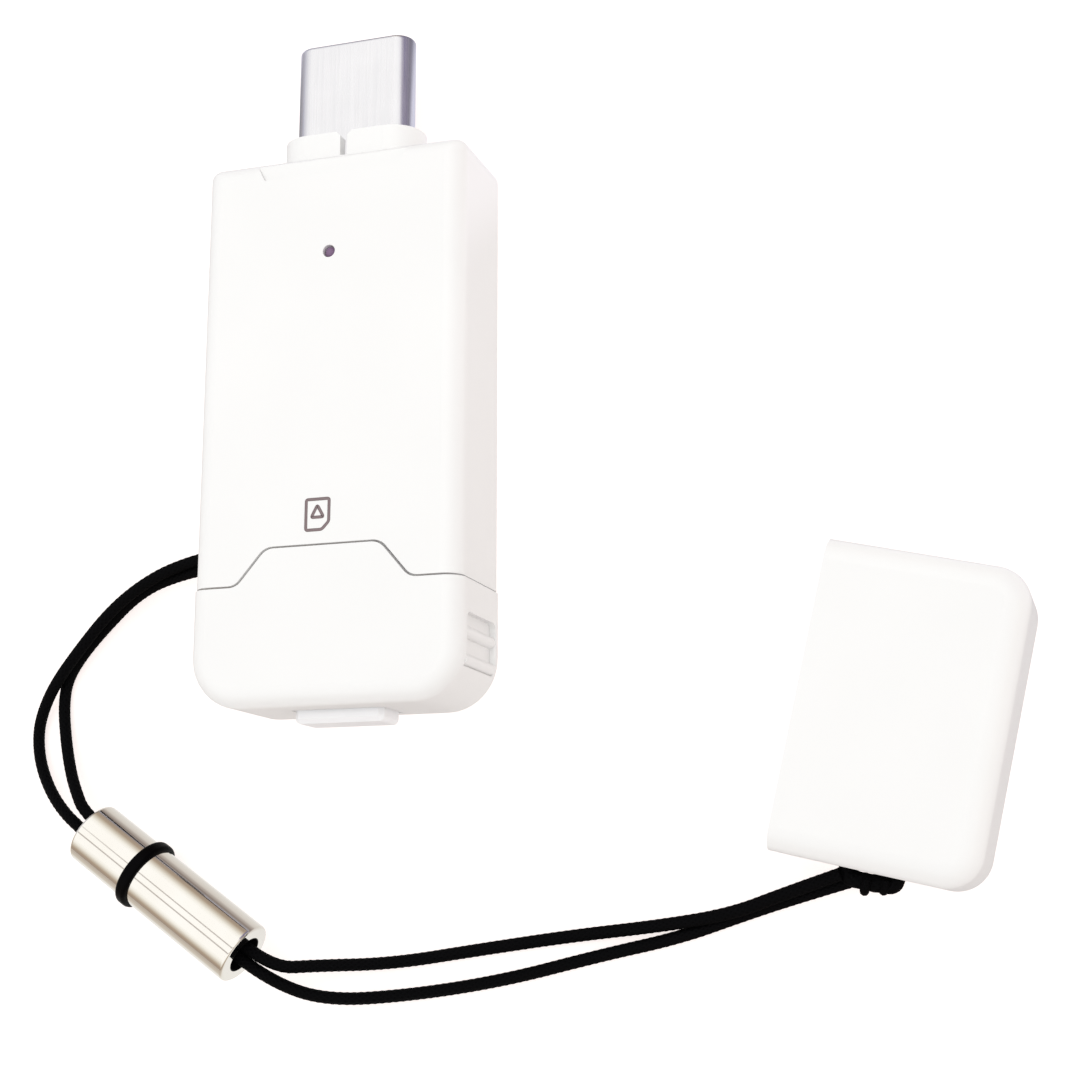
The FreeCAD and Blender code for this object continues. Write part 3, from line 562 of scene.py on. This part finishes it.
@dataclass
class Finishes:
    """Every finish of the object, made once."""

    effects: Effects = field(default_factory=Effects)

    def __post_init__(self) -> None:
        """Make the materials."""
        moulded = (
            Moulded("satin_white", (0.886, 0.89, 0.884), (0.871, 0.874, 0.868), (0.3, 0.38)),
            Moulded("natural_white", (0.95, 0.955, 0.968), (0.935, 0.942, 0.958), (0.3, 0.42)),
            Moulded("black_moulded", (0.016, 0.016, 0.017), (0.022, 0.022, 0.023), (0.4, 0.55)),
            Moulded("chip_epoxy", (0.02, 0.02, 0.021), (0.03, 0.03, 0.031), (0.5, 0.65), depth=0.000005),
            Moulded("solder_mask", (0.01, 0.09, 0.03), (0.015, 0.13, 0.045), (0.3, 0.4),
                    drift_scale=700.0, coat=0.4),
            Moulded("smoked_clear", (0.19, 0.115, 0.2), (0.22, 0.14, 0.235), (0.2, 0.3), gloss=0.2),
            Moulded("ring_rubber", (0.0008, 0.0006, 0.0008), (0.0016, 0.0013, 0.0016), (0.3, 0.45),
                    depth=0.000006, gloss=0.03),
            Moulded("print_ink", (0.2, 0.15, 0.155), (0.24, 0.185, 0.19), (0.4, 0.5), depth=0.000001),
            Moulded("led_resin", (0.85, 0.8, 0.55), (0.8, 0.76, 0.5), (0.2, 0.3), coat=0.5),
        )
        # Painted shade: the inside of the barrel's bore is coloured near black.
        barrel_bore_shade = BoreShade(
            start=(-0.01827, -0.0251, 0.00234), direction=(0.8208, -0.5712, 0.0), radius=0.00125)
        drawn = (
            Drawn("plug_steel", (0.785, 0.777, 0.782), (0.745, 0.738, 0.745), (0.22, 0.34)),
            Drawn("spring_steel", (0.66, 0.65, 0.63), (0.6, 0.6, 0.58), (0.25, 0.35)),
            Drawn("contact_gold", (0.95, 0.7, 0.28), (0.9, 0.64, 0.24), (0.18, 0.3)),
            Drawn("metal_can", (0.75, 0.75, 0.74), (0.7, 0.7, 0.69), (0.2, 0.3), turn=0.8),
            Drawn("polished_nickel", (0.81, 0.785, 0.735), (0.79, 0.76, 0.7), (0.05, 0.1), turn=0.963,
                  depth=0.0000001, bore_shade=barrel_bore_shade),
        )
        tinned = (
            Tinned("capacitor_ceramic", (0.36, 0.24, 0.15), row_y=-0.0031, body_half=0.0005),
            Tinned("resistor_ceramic", (0.02, 0.02, 0.021), row_y=0.0048, body_half=0.0003),
        )
        self.made = {finish.name: finish.make(self.effects) for finish in moulded + drawn + tinned}
        self.made["braided_strap"] = Braided().make()

    def __getitem__(self, name: str) -> bpy.types.Material:
        """The material of that name."""
        return self.made[name]

    def dress(self, node: bpy.types.Object, name: str) -> None:
        """Give a solid its finish.

        Args:
            node: the solid.
            name: name of the finish.
        """
        slots = node.data.materials
        for place in range(len(slots)):
            slots[place] = self.made[name]
        log.info("dressed %s in %s", node.name, name)


@dataclass
class Grid:
    """A surface on a grid of rows of points.

    Each row is closed on itself when `closed_columns` is set, and the last row is joined to the first when
    `closed_rows` is set.
    """

    points: Array
    closed_columns: bool = True
    closed_rows: bool = False

    def faces(self) -> Array:
        """Join neighbouring points to four-sided faces.

        Returns:
            Corner numbers of every face, one face per row of the array.
        """
        rows, columns = self.points.shape[:2]
        row = np.arange(rows if self.closed_rows else rows - 1)
        column = np.arange(columns if self.closed_columns else columns - 1)
        first, across = np.meshgrid(row, column, indexing="ij")
        after = (first + 1) % rows
        beside = (across + 1) % columns
        corners = (first * columns + across, after * columns + across,
                   after * columns + beside, first * columns + beside)
        return np.stack(corners, axis=-1).reshape(-1, 4)

    def uv(self, lengths: Array) -> Array:
        """Coordinates of every face corner.

        Args:
            lengths: V of each row.

        Returns:
            U once round each row and V from `lengths`, in the order of the faces' corners.
        """
        rows, columns = self.points.shape[:2]
        first, across = np.meshgrid(np.arange(rows - 1), np.arange(columns), indexing="ij")
        left = across / columns
        right = (across + 1) / columns
        near = lengths[first]
        far = lengths[first + 1]
        corners = ((left, near), (left, far), (right, far), (right, near))
        return np.stack([np.stack(corner, axis=-1) for corner in corners], axis=2).reshape(-1, 2)

    def mesh(self, name: str, material: bpy.types.Material, uv: Array | None = None) -> bpy.types.Object:
        """Make the surface's object at the origin, with points that fall together joined.

        Args:
            name: name of the piece.
            material: its finish.
            uv: coordinates of every face corner.

        Returns:
            The new object.
        """
        points = self.points.reshape(-1, 3) * MM
        faces = self.faces()
        mesh = bpy.data.meshes.new(name)
        mesh.vertices.add(len(points))
        mesh.vertices.foreach_set("co", points.astype(np.float32).ravel())
        mesh.loops.add(faces.size)
        mesh.loops.foreach_set("vertex_index", faces.astype(np.int32).ravel())
        mesh.polygons.add(len(faces))
        mesh.polygons.foreach_set("loop_start", np.arange(0, faces.size, 4, dtype=np.int32))
        mesh.polygons.foreach_set("use_smooth", np.ones(len(faces), dtype=bool))
        mesh.update(calc_edges=True)
        if uv is not None:
            mesh.uv_layers.new(name="UVMap").data.foreach_set("uv", uv.astype(np.float32).ravel())
        shape = bmesh.new()
        shape.from_mesh(mesh)
        bmesh.ops.remove_doubles(shape, verts=shape.verts, dist=MERGE_DISTANCE)
        shape.to_mesh(mesh)
        shape.free()
        mesh.validate()
        mesh.materials.append(material)
        piece = bpy.data.objects.new(name, mesh)
        bpy.context.scene.collection.objects.link(piece)
        return piece


def smooth_line(name: str, route: list[Point]) -> Array:
    """Points of the smooth line that a route's points steer.

    Args:
        name: name of the line.
        route: control points in millimetres.

    Returns:
        Points along the line in millimetres, close together.
    """
    curve = bpy.data.curves.new(name, "CURVE")
    curve.dimensions = "3D"
    spline = curve.splines.new("NURBS")
    spline.points.add(len(route) - 1)
    steer = np.ones((len(route), 4))
    steer[:, :3] = np.array(route) * MM
    spline.points.foreach_set("co", steer.ravel())
    spline.order_u = 3
    spline.use_endpoint_u = True
    spline.resolution_u = LINE_RESOLUTION
    holder = bpy.data.objects.new(name, curve)
    bpy.context.scene.collection.objects.link(holder)
    bpy.context.view_layer.update()
    mesh = bpy.data.meshes.new_from_object(holder)
    points = np.empty(len(mesh.vertices) * 3, dtype=np.float32)
    mesh.vertices.foreach_get("co", points)
    bpy.data.objects.remove(holder)
    bpy.data.curves.remove(curve)
    bpy.data.meshes.remove(mesh)
    return points.reshape(-1, 3).astype(float) / MM


def line_lengths(line: Array) -> Array:
    """Length along a line up to each of its points."""
    return np.concatenate(([0.0], np.cumsum(np.linalg.norm(np.diff(line, axis=0), axis=1))))


def even_points(line: Array, step: float) -> Array:
    """Space a line's points evenly.

    Args:
        line: points in millimetres.
        step: wanted spacing.

    Returns:
        Points along the same line.
    """
    run = line_lengths(line)
    runs = max(FEWEST_RUNS, int(round(run[-1] / step)))
    stops = np.linspace(0.0, run[-1], runs + 1)
    return np.stack([np.interp(stops, run, line[:, axis]) for axis in range(3)], axis=1)


@dataclass
class Cord:
    """A round cord along a smooth line, with yarns standing out of it.

    The surface is a circle carried along the line. Its radius is the cord's, less a little between the
    yarns: the height is half the sum of two waves that run round the cord at opposite slants.
    """

    name: str
    route: list[Point]
    diameter: float
    relief: float = 0.05
    yarns: int = 8
    slant: float = 0.7
    step: float = 0.09
    sides: int = 32

    def line(self) -> Array:
        """Evenly spaced points along the cord."""
        return even_points(smooth_line(self.name, self.route), self.step)

    def build(self, material: bpy.types.Material) -> tuple[bpy.types.Object, Array]:
        """Make the cord.

        Args:
            material: its finish.

        Returns:
            The piece and the points it follows.
        """
        line = self.line()
        run = line_lengths(line)
        forward = np.gradient(line, axis=0)
        forward /= np.linalg.norm(forward, axis=1, keepdims=True)
        side = np.cross(forward, (0.0, 0.0, 1.0))
        side /= np.linalg.norm(side, axis=1, keepdims=True)
        top = np.cross(side, forward)
        angle = np.linspace(0.0, 2.0 * np.pi, self.sides, endpoint=False)
        radius = self.diameter / 2.0
        turn = run[:, None] * self.slant / radius
        half = self.yarns / 2.0
        waves = np.abs(np.cos(half * (angle + turn))) + np.abs(np.cos(half * (angle - turn)))
        reach = radius - self.relief * (1.0 - waves / 2.0)
        ring = (np.cos(angle)[None, :, None] * side[:, None, :]
                + np.sin(angle)[None, :, None] * top[:, None, :])
        points = line[:, None, :] + reach[:, :, None] * ring
        ends = [np.broadcast_to(line[end], (1, self.sides, 3)) for end in (0, -1)]
        grid = Grid(np.concatenate((ends[0], points, ends[1])))
        lengths = np.concatenate((run[:1], run, run[-1:])) * self.slant / (2.0 * np.pi * radius)
        return grid.mesh(self.name, material, grid.uv(lengths)), line


@dataclass
class Housing:
    """The two shells, with the card mark printed on the front."""

    front_z: float = 7.5
    ink: float = 0.01
    line: float = 0.2
    corner: float = 0.14
    corner_points: int = 8
    card: Outline = (
        (-1.12, -7.16), (-0.04, -7.16), (0.43, -6.67), (0.43, -5.21), (-1.12, -5.21))
    arrow: Outline = ((-0.76, -6.36), (0.07, -6.36), (-0.36, -5.6))

    def dress(self, nodes: dict[str, bpy.types.Object], finishes: Finishes) -> None:
        """Dress the shells and print the mark.

        Args:
            nodes: the solids.
            finishes: the finishes.
        """
        for name in ("front_shell", "back_shell"):
            finishes.dress(nodes[name], "satin_white")
        for name, outline in (("mark_card", self.card), ("mark_arrow", self.arrow)):
            piece = self.stroke(name, outline, finishes["print_ink"])
            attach(piece, Body.READER.value)

    def stroke(self, name: str, outline: Outline, ink: bpy.types.Material) -> bpy.types.Object:
        """Print a closed line.

        The surface is a strip of the line's width carried along the outline. At a corner p with its ends a
        and b the outline is the arc (1 - t)^2 a + 2 t (1 - t) p + t^2 b, with t from 0 to 1.

        Args:
            name: name of the piece.
            outline: its corners on the front, anticlockwise, in millimetres.
            ink: its finish.

        Returns:
            The piece.
        """
        corners = np.array(outline)
        back = np.roll(corners, 1, axis=0) - corners
        ahead = np.roll(corners, -1, axis=0) - corners
        enter = corners + back / np.linalg.norm(back, axis=1, keepdims=True) * self.corner
        leave = corners + ahead / np.linalg.norm(ahead, axis=1, keepdims=True) * self.corner
        share = np.linspace(0.0, 1.0, self.corner_points)[None, :, None]
        arcs = ((1.0 - share) ** 2 * enter[:, None] + 2.0 * share * (1.0 - share) * corners[:, None]
                + share ** 2 * leave[:, None])
        path = arcs.reshape(-1, 2)
        along = np.roll(path, -1, axis=0) - np.roll(path, 1, axis=0)
        along /= np.linalg.norm(along, axis=1, keepdims=True)
        across = np.stack((along[:, 1], -along[:, 0]), axis=1) * self.line / 2.0
        flat = np.stack((path - across, path + across), axis=1)
        height = np.full((*flat.shape[:2], 1), self.front_z + self.ink / 2.0)
        points = np.concatenate((flat, height), axis=2)
        piece = Grid(points, closed_columns=False, closed_rows=True).mesh(name, ink)
        film = piece.modifiers.new("film", "SOLIDIFY")
        film.thickness = self.ink * MM
        film.offset = 0.0
        log.info("printed %s", name)
        return piece


@dataclass
class Lid:
    """The pull-off lid."""

    def dress(self, nodes: dict[str, bpy.types.Object], finishes: Finishes) -> None:
        """Dress the lid."""
        finishes.dress(nodes["lid"], "satin_white")


@dataclass
class CardBay:
    """The guide, connector, contacts and switch that a card meets."""

    def dress(self, nodes: dict[str, bpy.types.Object], finishes: Finishes) -> None:
        """Dress the bay's solids.

        Args:
            nodes: the solids.
            finishes: the finishes.
        """
        finishes.dress(nodes["card_guide"], "natural_white")
        finishes.dress(nodes["card_connector"], "black_moulded")
        finishes.dress(nodes["card_contacts"], "contact_gold")
        finishes.dress(nodes["card_switch"], "spring_steel")


@dataclass
class Plug:
    """The plug's shell, insulator, contacts and latches."""

    def dress(self, nodes: dict[str, bpy.types.Object], finishes: Finishes) -> None:
        """Dress the plug's solids.

        Args:
            nodes: the solids.
            finishes: the finishes.
        """
        finishes.dress(nodes["usb_shell"], "plug_steel")
        finishes.dress(nodes["usb_core"], "black_moulded")
        finishes.dress(nodes["usb_contacts"], "contact_gold")
        finishes.dress(nodes["usb_latches"], "spring_steel")


@dataclass
class Electronics:
    """The board, its parts and the light, whose pipe ends in a low dome in the front's hole."""

    dome_rise: float = 0.37
    dome_radius: float = 0.4
    dome_rows: int = 16
    dome_sides: int = 48

    def dress(self, nodes: dict[str, bpy.types.Object], finishes: Finishes) -> None:
        """Dress the board's solids and finish the light.

        Args:
            nodes: the solids.
            finishes: the finishes.
        """
        finishes.dress(nodes["circuit_board"], "solder_mask")
        for name in ("reader_chip", "regulator"):
            finishes.dress(nodes[name], "chip_epoxy")
        finishes.dress(nodes["crystal"], "metal_can")
        finishes.dress(nodes["capacitors"], "capacitor_ceramic")
        finishes.dress(nodes["resistors"], "resistor_ceramic")
        finishes.dress(nodes["status_led"], "led_resin")
        finishes.dress(nodes["light_pipe"], "smoked_clear")
        self.dome(finishes["smoked_clear"])

    def dome(self, material: bpy.types.Material) -> None:
        """Round off the light pipe's end.

        The surface is a quarter of an ellipse turned about the pipe: its radius goes as the cosine and its
        height as the sine of an angle from the rim to the top, and its foot is closed.

        Args:
            material: its finish.
        """
        angle = np.linspace(0.0, np.pi / 2.0, self.dome_rows)
        reach = np.concatenate(([0.0], self.dome_radius * np.cos(angle)))
        low, high = (np.array(corner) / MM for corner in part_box("light_pipe"))
        middle = (low + high) / 2.0
        height = np.concatenate(([0.0], self.dome_rise * np.sin(angle))) + high[2]
        around = np.linspace(0.0, 2.0 * np.pi, self.dome_sides, endpoint=False)
        across = reach[:, None] * np.cos(around) + middle[0]
        along = reach[:, None] * np.sin(around) + middle[1]
        points = np.stack((across, along, np.broadcast_to(height[:, None], across.shape)), axis=-1)
        piece = Grid(points[::-1]).mesh("light_pipe_dome", material)
        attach(piece, Body.READER.value)
        log.info("rounded the light pipe's end")


@dataclass
class PlugCap:
    """The plug's cap, taken off and lying apart."""

    x: float = 40.57
    y: float = -21.08
    turn: float = 76.7

    def dress(self, nodes: dict[str, bpy.types.Object], finishes: Finishes) -> None:
        """Dress the cap."""
        finishes.dress(nodes["cap"], "satin_white")

    def place(self, points: list[Point]) -> list[Point]:
        """Carry points of the cap's own frame to where it lies.

        Args:
            points: points in millimetres from the cap's closed end.

        Returns:
            The same points in the object's frame.
        """
        turn = np.radians(self.turn)
        cosine = np.cos(turn)
        sine = np.sin(turn)
        spin = np.array(((cosine, sine, 0.0), (-sine, cosine, 0.0), (0.0, 0.0, 1.0)))
        return [tuple(point) for point in np.array(points) @ spin + (self.x, self.y, 0.0)]


@dataclass
class Strap:
    """The strap: two braided strands through a polished barrel with a ring, tied to the cap by a hitch."""

    cap: PlugCap
    diameter: float = 0.8
    hitch_diameter: float = 1.04
    wrap_diameter: float = 0.56
    path_step: int = 4
    mirrored: tuple[str, ...] = (
        "barrel", "barrel_ring", "cap", "usb_shell", "usb_core", "usb_contacts", "usb_latches")
    outer: list[Point] = field(default_factory=lambda: [
        (-7.0, -8.35, 2.18), (-5.35, -8.35, 2.18), (-5.35, -6.45, 2.18), (-7.5, -6.5, 2.18),
        (-9.8, -7.0, 2.18), (-13.41, -7.74, 2.12), (-16.1, -8.9, 1.85), (-18.47, -10.49, 1.5),
        (-20.65, -12.89, 1.4), (-22.46, -15.2, 1.34), (-23.85, -17.23, 0.55), (-24.01, -18.96, 0.42),
        (-23.37, -20.87, 0.7), (-21.74, -23.0, 1.45), (-19.33, -24.87, 2.3), (-9.14, -31.94, 2.3),
        (-5.27, -34.55, 2.1), (-1.9, -35.72, 1.2), (3.4, -35.38, 0.42), (9.6, -34.45, 0.42),
        (15.6, -32.98, 0.42), (20.6, -31.93, 0.42), (24.4, -30.65, 0.42), (27.6, -29.68, 0.85),
        (30.91, -28.8, 1.55)])
    inner: list[Point] = field(default_factory=lambda: [
        (-7.0, -8.35, 2.18), (-8.6, -7.62, 2.18), (-14.11, -8.22, 1.2), (-16.83, -9.18, 0.62),
        (-18.94, -10.93, 0.42), (-20.82, -12.88, 0.42), (-21.99, -14.66, 0.42), (-22.16, -16.48, 0.42),
        (-21.77, -18.6, 0.6), (-21.15, -20.41, 1.0), (-20.3, -22.03, 1.6), (-18.85, -24.18, 2.3),
        (-8.7, -31.3, 2.3), (-5.0, -33.75, 2.2), (-2.6, -33.6, 1.4), (2.2, -33.48, 0.46),
        (8.0, -32.62, 0.42), (14.0, -31.8, 0.42), (19.45, -31.25, 0.7), (23.83, -30.6, 1.1),
        (27.23, -29.42, 1.55), (30.58, -28.38, 2.2)])

    def hitch_routes(self) -> dict[str, list[Point]]:
        """Lead the hitch's turn through the cap's eyes, and its two wraps round that turn.

        Returns:
            The route of each piece, in millimetres.
        """
        routes = {
            "hitch_turn": [
                (-8.1, 5.05, 1.9), (-9.4, 4.8, 1.9), (-9.5, 5.8, 1.9), (-9.55, 7.0, 1.9),
                (-9.45, 8.0, 1.9), (-8.1, 7.7, 1.9)],
            "hitch_wrap_first": [
                (-9.2, 5.45, 2.4), (-9.7, 5.5, 2.35), (-9.86, 5.56, 1.9), (-9.7, 5.62, 1.45),
                (-9.2, 5.68, 1.4)],
            "hitch_wrap_second": [
                (-9.35, 6.5, 2.45), (-9.95, 6.55, 2.4), (-10.12, 6.62, 1.9), (-9.95, 6.68, 1.4),
                (-9.35, 6.74, 1.35)],
        }
        return {name: self.cap.place(route) for name, route in routes.items()}

    def clear_mirror(self, nodes: dict[str, bpy.types.Object]) -> None:
        """Keep the housing, the lid and what is in them out of what glossy surfaces mirror.

        The polished barrel then mirrors the studio along its whole length.

        Args:
            nodes: the solids.
        """
        for name, node in nodes.items():
            node.visible_glossy = name in self.mirrored

    def build(self, nodes: dict[str, bpy.types.Object], finishes: Finishes) -> None:
        """Lay the strands and tie the hitch.

        Args:
            nodes: the solids.
            finishes: the finishes.
        """
        self.clear_mirror(nodes)
        finishes.dress(nodes["barrel"], "polished_nickel")
        finishes.dress(nodes["barrel_ring"], "ring_rubber")
        braid = finishes["braided_strap"]
        hitch = []
        for name, route in self.hitch_routes().items():
            thick = self.hitch_diameter if name == "hitch_turn" else self.wrap_diameter
            piece, _ = Cord(name, route, thick).build(braid)
            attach(piece, Body.READER.value)
            hitch.append(piece)
        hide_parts("cap_hitch")
        goes_along = [nodes["barrel"], nodes["barrel_ring"], *hitch]
        strands = (("outer_strand", self.outer, goes_along), ("inner_strand", self.inner, []))
        for name, route, others in strands:
            piece, line = Cord(name, route, self.diameter).build(braid)
            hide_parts("strap_" + name)
            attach(piece, Body.READER.value)


@dataclass
class Softbox:
    """A square area light that looks at the object and that mirrors don't show."""

    name: str
    place: Point
    side: float
    power: float
    colour: Colour = WHITE
    aim: Point = (5.0, -8.0, 2.0)

    def build(self) -> None:
        """Hang the light."""
        lamp = bpy.data.lights.new(self.name, "AREA")
        lamp.shape = "SQUARE"
        lamp.size = self.side * MM
        lamp.energy = self.power
        lamp.color = self.colour
        holder = bpy.data.objects.new(self.name, lamp)
        holder.visible_glossy = False
        holder.location = Vector(self.place) * MM
        towards = Vector(self.aim) - Vector(self.place)
        holder.rotation_euler = towards.to_track_quat("-Z", "Y").to_euler()
        bpy.context.scene.collection.objects.link(holder)
        log.info("hung %s", self.name)


@dataclass
class Studio:
    """The photograph's camera, a white table and soft light.

    Lengths are in millimetres, but those that a shader reads are in metres: `barrel_reach`, which is how
    far the barrel's axis lies along `barrel_across`, and the places in `mirrored_table_painted_shade`, measured from it.
    The places in `mirrored_front`, `mirrored_left` and `mirrored_right` are a direction's height from 0
    to 1, and those in `mirrored_seams` its lean across the barrel in radians.
    """

    eye: Point = (47.58, -32.20, 110.49)
    right: Point = (0.9512, -0.0013, -0.3087)
    up: Point = (0.0664, 0.9774, 0.2005)
    lens: float = 62.09
    sensor: float = 36.0
    clip_start: float = 1.0
    clip_end: float = 10000.0
    floor_half: float = 900.0
    floor_lines: int = 5
    floor_z: float = -0.01
    table_dark: Colour = (0.39, 0.39, 0.39)
    table_pale: Colour = (0.41, 0.41, 0.41)
    table_haze: float = 40.0
    table_roughness: float = 0.6
    table_glow: Colour = (0.82, 0.75, 0.725)
    glow: float = 1.25
    horizon: Colour = (0.65, 0.62, 0.606)
    zenith: Colour = (0.69, 0.692, 0.69)
    barrel_across: Point = (0.571, 0.821, 0.0)
    barrel_reach: float = -0.03104
    table_range: tuple[float, float] = (-0.03, 0.1)
    # what mirrors see of the table: a painted shadow of the barrel and painted dark and pale bands, by the
    # distance from its axis
    mirrored_table_painted_shade: Stops = (
        (-0.03, (0.5, 0.44, 0.38)), (-0.0105, (0.66, 0.6, 0.53)), (-0.0053, (0.95, 0.94, 0.92)),
        (0.0, WHITE), (0.0044, (0.8, 0.77, 0.74)), (0.006, (0.74, 0.7, 0.67)),
        (0.0085, (0.5, 0.45, 0.42)), (0.015, (0.25, 0.2, 0.18)), (0.03, (0.31, 0.285, 0.295)),
        (0.0475, (0.28, 0.28, 0.325)), (0.051, (0.78, 0.78, 0.92)), (0.056, (0.78, 0.78, 0.92)),
        (0.0625, (0.17, 0.16, 0.22)), (0.09, (0.2, 0.19, 0.24)))
    mirrored_front: Stops = (
        (0.0, (0.33, 0.27, 0.23)), (0.2, (0.4, 0.32, 0.25)), (0.35, (0.62, 0.57, 0.5)),
        (0.52, (0.9, 0.89, 0.86)), (0.65, WHITE))
    mirrored_left: Stops = (
        (0.0, (0.3, 0.3, 0.36)), (0.17, (0.45, 0.45, 0.53)), (0.6, (0.76, 0.76, 0.79)), (0.78, WHITE))
    mirrored_right: Stops = (
        (0.0, (0.22, 0.2, 0.28)), (0.5, (0.22, 0.2, 0.3)), (0.66, (0.5, 0.47, 0.54)), (0.74, WHITE))
    seam_range: tuple[float, float] = (-0.5, 0.5)
    mirrored_seams: Stops = (
        (-0.34, WHITE), (-0.3, (0.42, 0.38, 0.36)), (-0.27, (0.42, 0.38, 0.36)), (-0.23, WHITE),
        (0.09, WHITE), (0.12, (0.42, 0.38, 0.36)), (0.15, (0.42, 0.38, 0.36)), (0.18, WHITE))
    left_edge: Stops = ((-0.33, WHITE), (-0.29, BLACK))
    right_edge: Stops = ((0.25, BLACK), (0.33, WHITE))
    behind: float = 0.2
    softboxes: tuple[Softbox, ...] = (
        Softbox("key_light", place=(-20.0, 60.0, 345.0), side=300.0, power=0.37),
        Softbox("side_light", place=(320.0, -20.0, 90.0), side=300.0, power=0.07, colour=(1.0, 0.8, 0.7)))

    def build(self) -> None:
        """Set up the studio."""
        self.camera()
        self.floor()
        self.world()
        for softbox in self.softboxes:
            softbox.build()
        bpy.context.scene.view_settings.view_transform = "Standard"

    def camera(self) -> None:
        """Stand the camera where the photograph's stood."""
        lens = bpy.data.cameras.new("camera")
        lens.sensor_width = self.sensor
        lens.lens = self.lens
        lens.clip_start = self.clip_start * MM
        lens.clip_end = self.clip_end * MM
        right = Vector(self.right).normalized()
        back = right.cross(Vector(self.up)).normalized()
        up = back.cross(right)
        turn = Matrix((right, up, back)).transposed().to_4x4()
        holder = bpy.data.objects.new("camera", lens)
        holder.matrix_world = Matrix.Translation(Vector(self.eye) * MM) @ turn
        bpy.context.scene.collection.objects.link(holder)
        bpy.context.scene.camera = holder
        log.info("placed the camera")

    def floor(self) -> None:
        """Lay the table's top: a flat grid just under the object. It glows evenly to the camera, but
        mirrors see painted shade on it: a painted shadow of the barrel and darker bands, by the distance
        from the barrel's axis.
        """
        span = np.linspace(-self.floor_half, self.floor_half, self.floor_lines)
        across, along = np.meshgrid(span, span, indexing="ij")
        points = np.stack((across, along, np.full_like(across, self.floor_z)), axis=-1)
        material, shader, surface = new_material("table_top")
        place = shader.add("ShaderNodeTexCoord").outputs["Object"]
        cloud = shader.noise(place, self.table_haze, BROAD_OCTAVES)
        haze = shader.blend(cloud, self.table_dark, self.table_pale)
        # Painted shade for mirrors: the barrel's shadow and darker bands on the table, by the distance from
        # its axis.
        reach = shader.calc(Step.SUBTRACT, shader.along(place, self.barrel_across), self.barrel_reach)
        mirrored = shader.ramp(reach, *self.table_range, self.mirrored_table_painted_shade)
        glossy = shader.add("ShaderNodeLightPath").outputs["Is Glossy Ray"]
        shader.feed(surface.inputs["Base Color"], shader.blend(glossy, haze, BLACK))
        shader.feed(surface.inputs["Emission Color"], shader.blend(glossy, self.table_glow, mirrored))
        surface.inputs["Roughness"].default_value = self.table_roughness
        surface.inputs["Emission Strength"].default_value = 1.0
        Grid(points, closed_columns=False).mesh("table_top", material)
        log.info("laid the table top")

    def world(self) -> None:
        """Put a pale tent round the table, brighter overhead.

        What mirrors see of it is warm in front, with two seams along the barrel, and dim and cool at both
        sides behind.
        """
        world = bpy.data.worlds.new("studio")
        world.use_nodes = True
        bpy.context.scene.world = world
        shader = Shader(world.node_tree)
        look = shader.add("ShaderNodeTexCoord").outputs["Generated"]
        axes = shader.add("ShaderNodeSeparateXYZ")
        shader.feed(axes.inputs["Vector"], look)
        shade = world.node_tree.nodes["Background"]
        soft = shader.blend(axes.outputs["Z"], self.horizon, self.zenith)
        front, left, right = (
            shader.ramp(axes.outputs["Z"], 0.0, 1.0, stops)
            for stops in (self.mirrored_front, self.mirrored_left, self.mirrored_right))
        lean = shader.calc(Step.ANGLE, shader.along(look, self.barrel_across), axes.outputs["Z"])
        seams = shader.ramp(lean, *self.seam_range, self.mirrored_seams)
        striped = shader.add("ShaderNodeMix", data_type="RGBA", blend_type="MULTIPLY")
        striped.inputs["Factor"].default_value = 1.0
        shader.feed(striped.inputs["A"], front)
        shader.feed(striped.inputs["B"], seams)
        away = shader.calc(Step.GREATER, axes.outputs["Y"], self.behind)
        to_left = shader.ramp(axes.outputs["X"], -1.0, 1.0, self.left_edge)
        to_right = shader.ramp(axes.outputs["X"], -1.0, 1.0, self.right_edge)
        mirrored = striped.outputs["Result"]
        for side, shades in ((to_left, left), (to_right, right)):
            mirrored = shader.blend(shader.calc(Step.MULTIPLY, side, away), mirrored, shades)
        glossy = shader.add("ShaderNodeLightPath").outputs["Is Glossy Ray"]
        shader.feed(shade.inputs["Color"], shader.blend(glossy, soft, mirrored))
        shade.inputs["Strength"].default_value = self.glow
        log.info("lit the surroundings")


def clear() -> None:
    """Empty the scene."""
    for thing in list(bpy.data.objects):
        bpy.data.objects.remove(thing)


def main() -> None:
    """Dress every sub-assembly and set up the studio."""
    logging.basicConfig(level=logging.INFO, format="%(name)s: %(message)s")
    clear()
    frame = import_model()
    nodes = frame["nodes"]
    finishes = Finishes()
    cap = PlugCap()
    for part in (Housing(), Lid(), CardBay(), Plug(), Electronics(), cap):
        part.dress(nodes, finishes)
    Strap(cap).build(nodes, finishes)
    Studio().build()


if __name__ == "__main__":
    main()
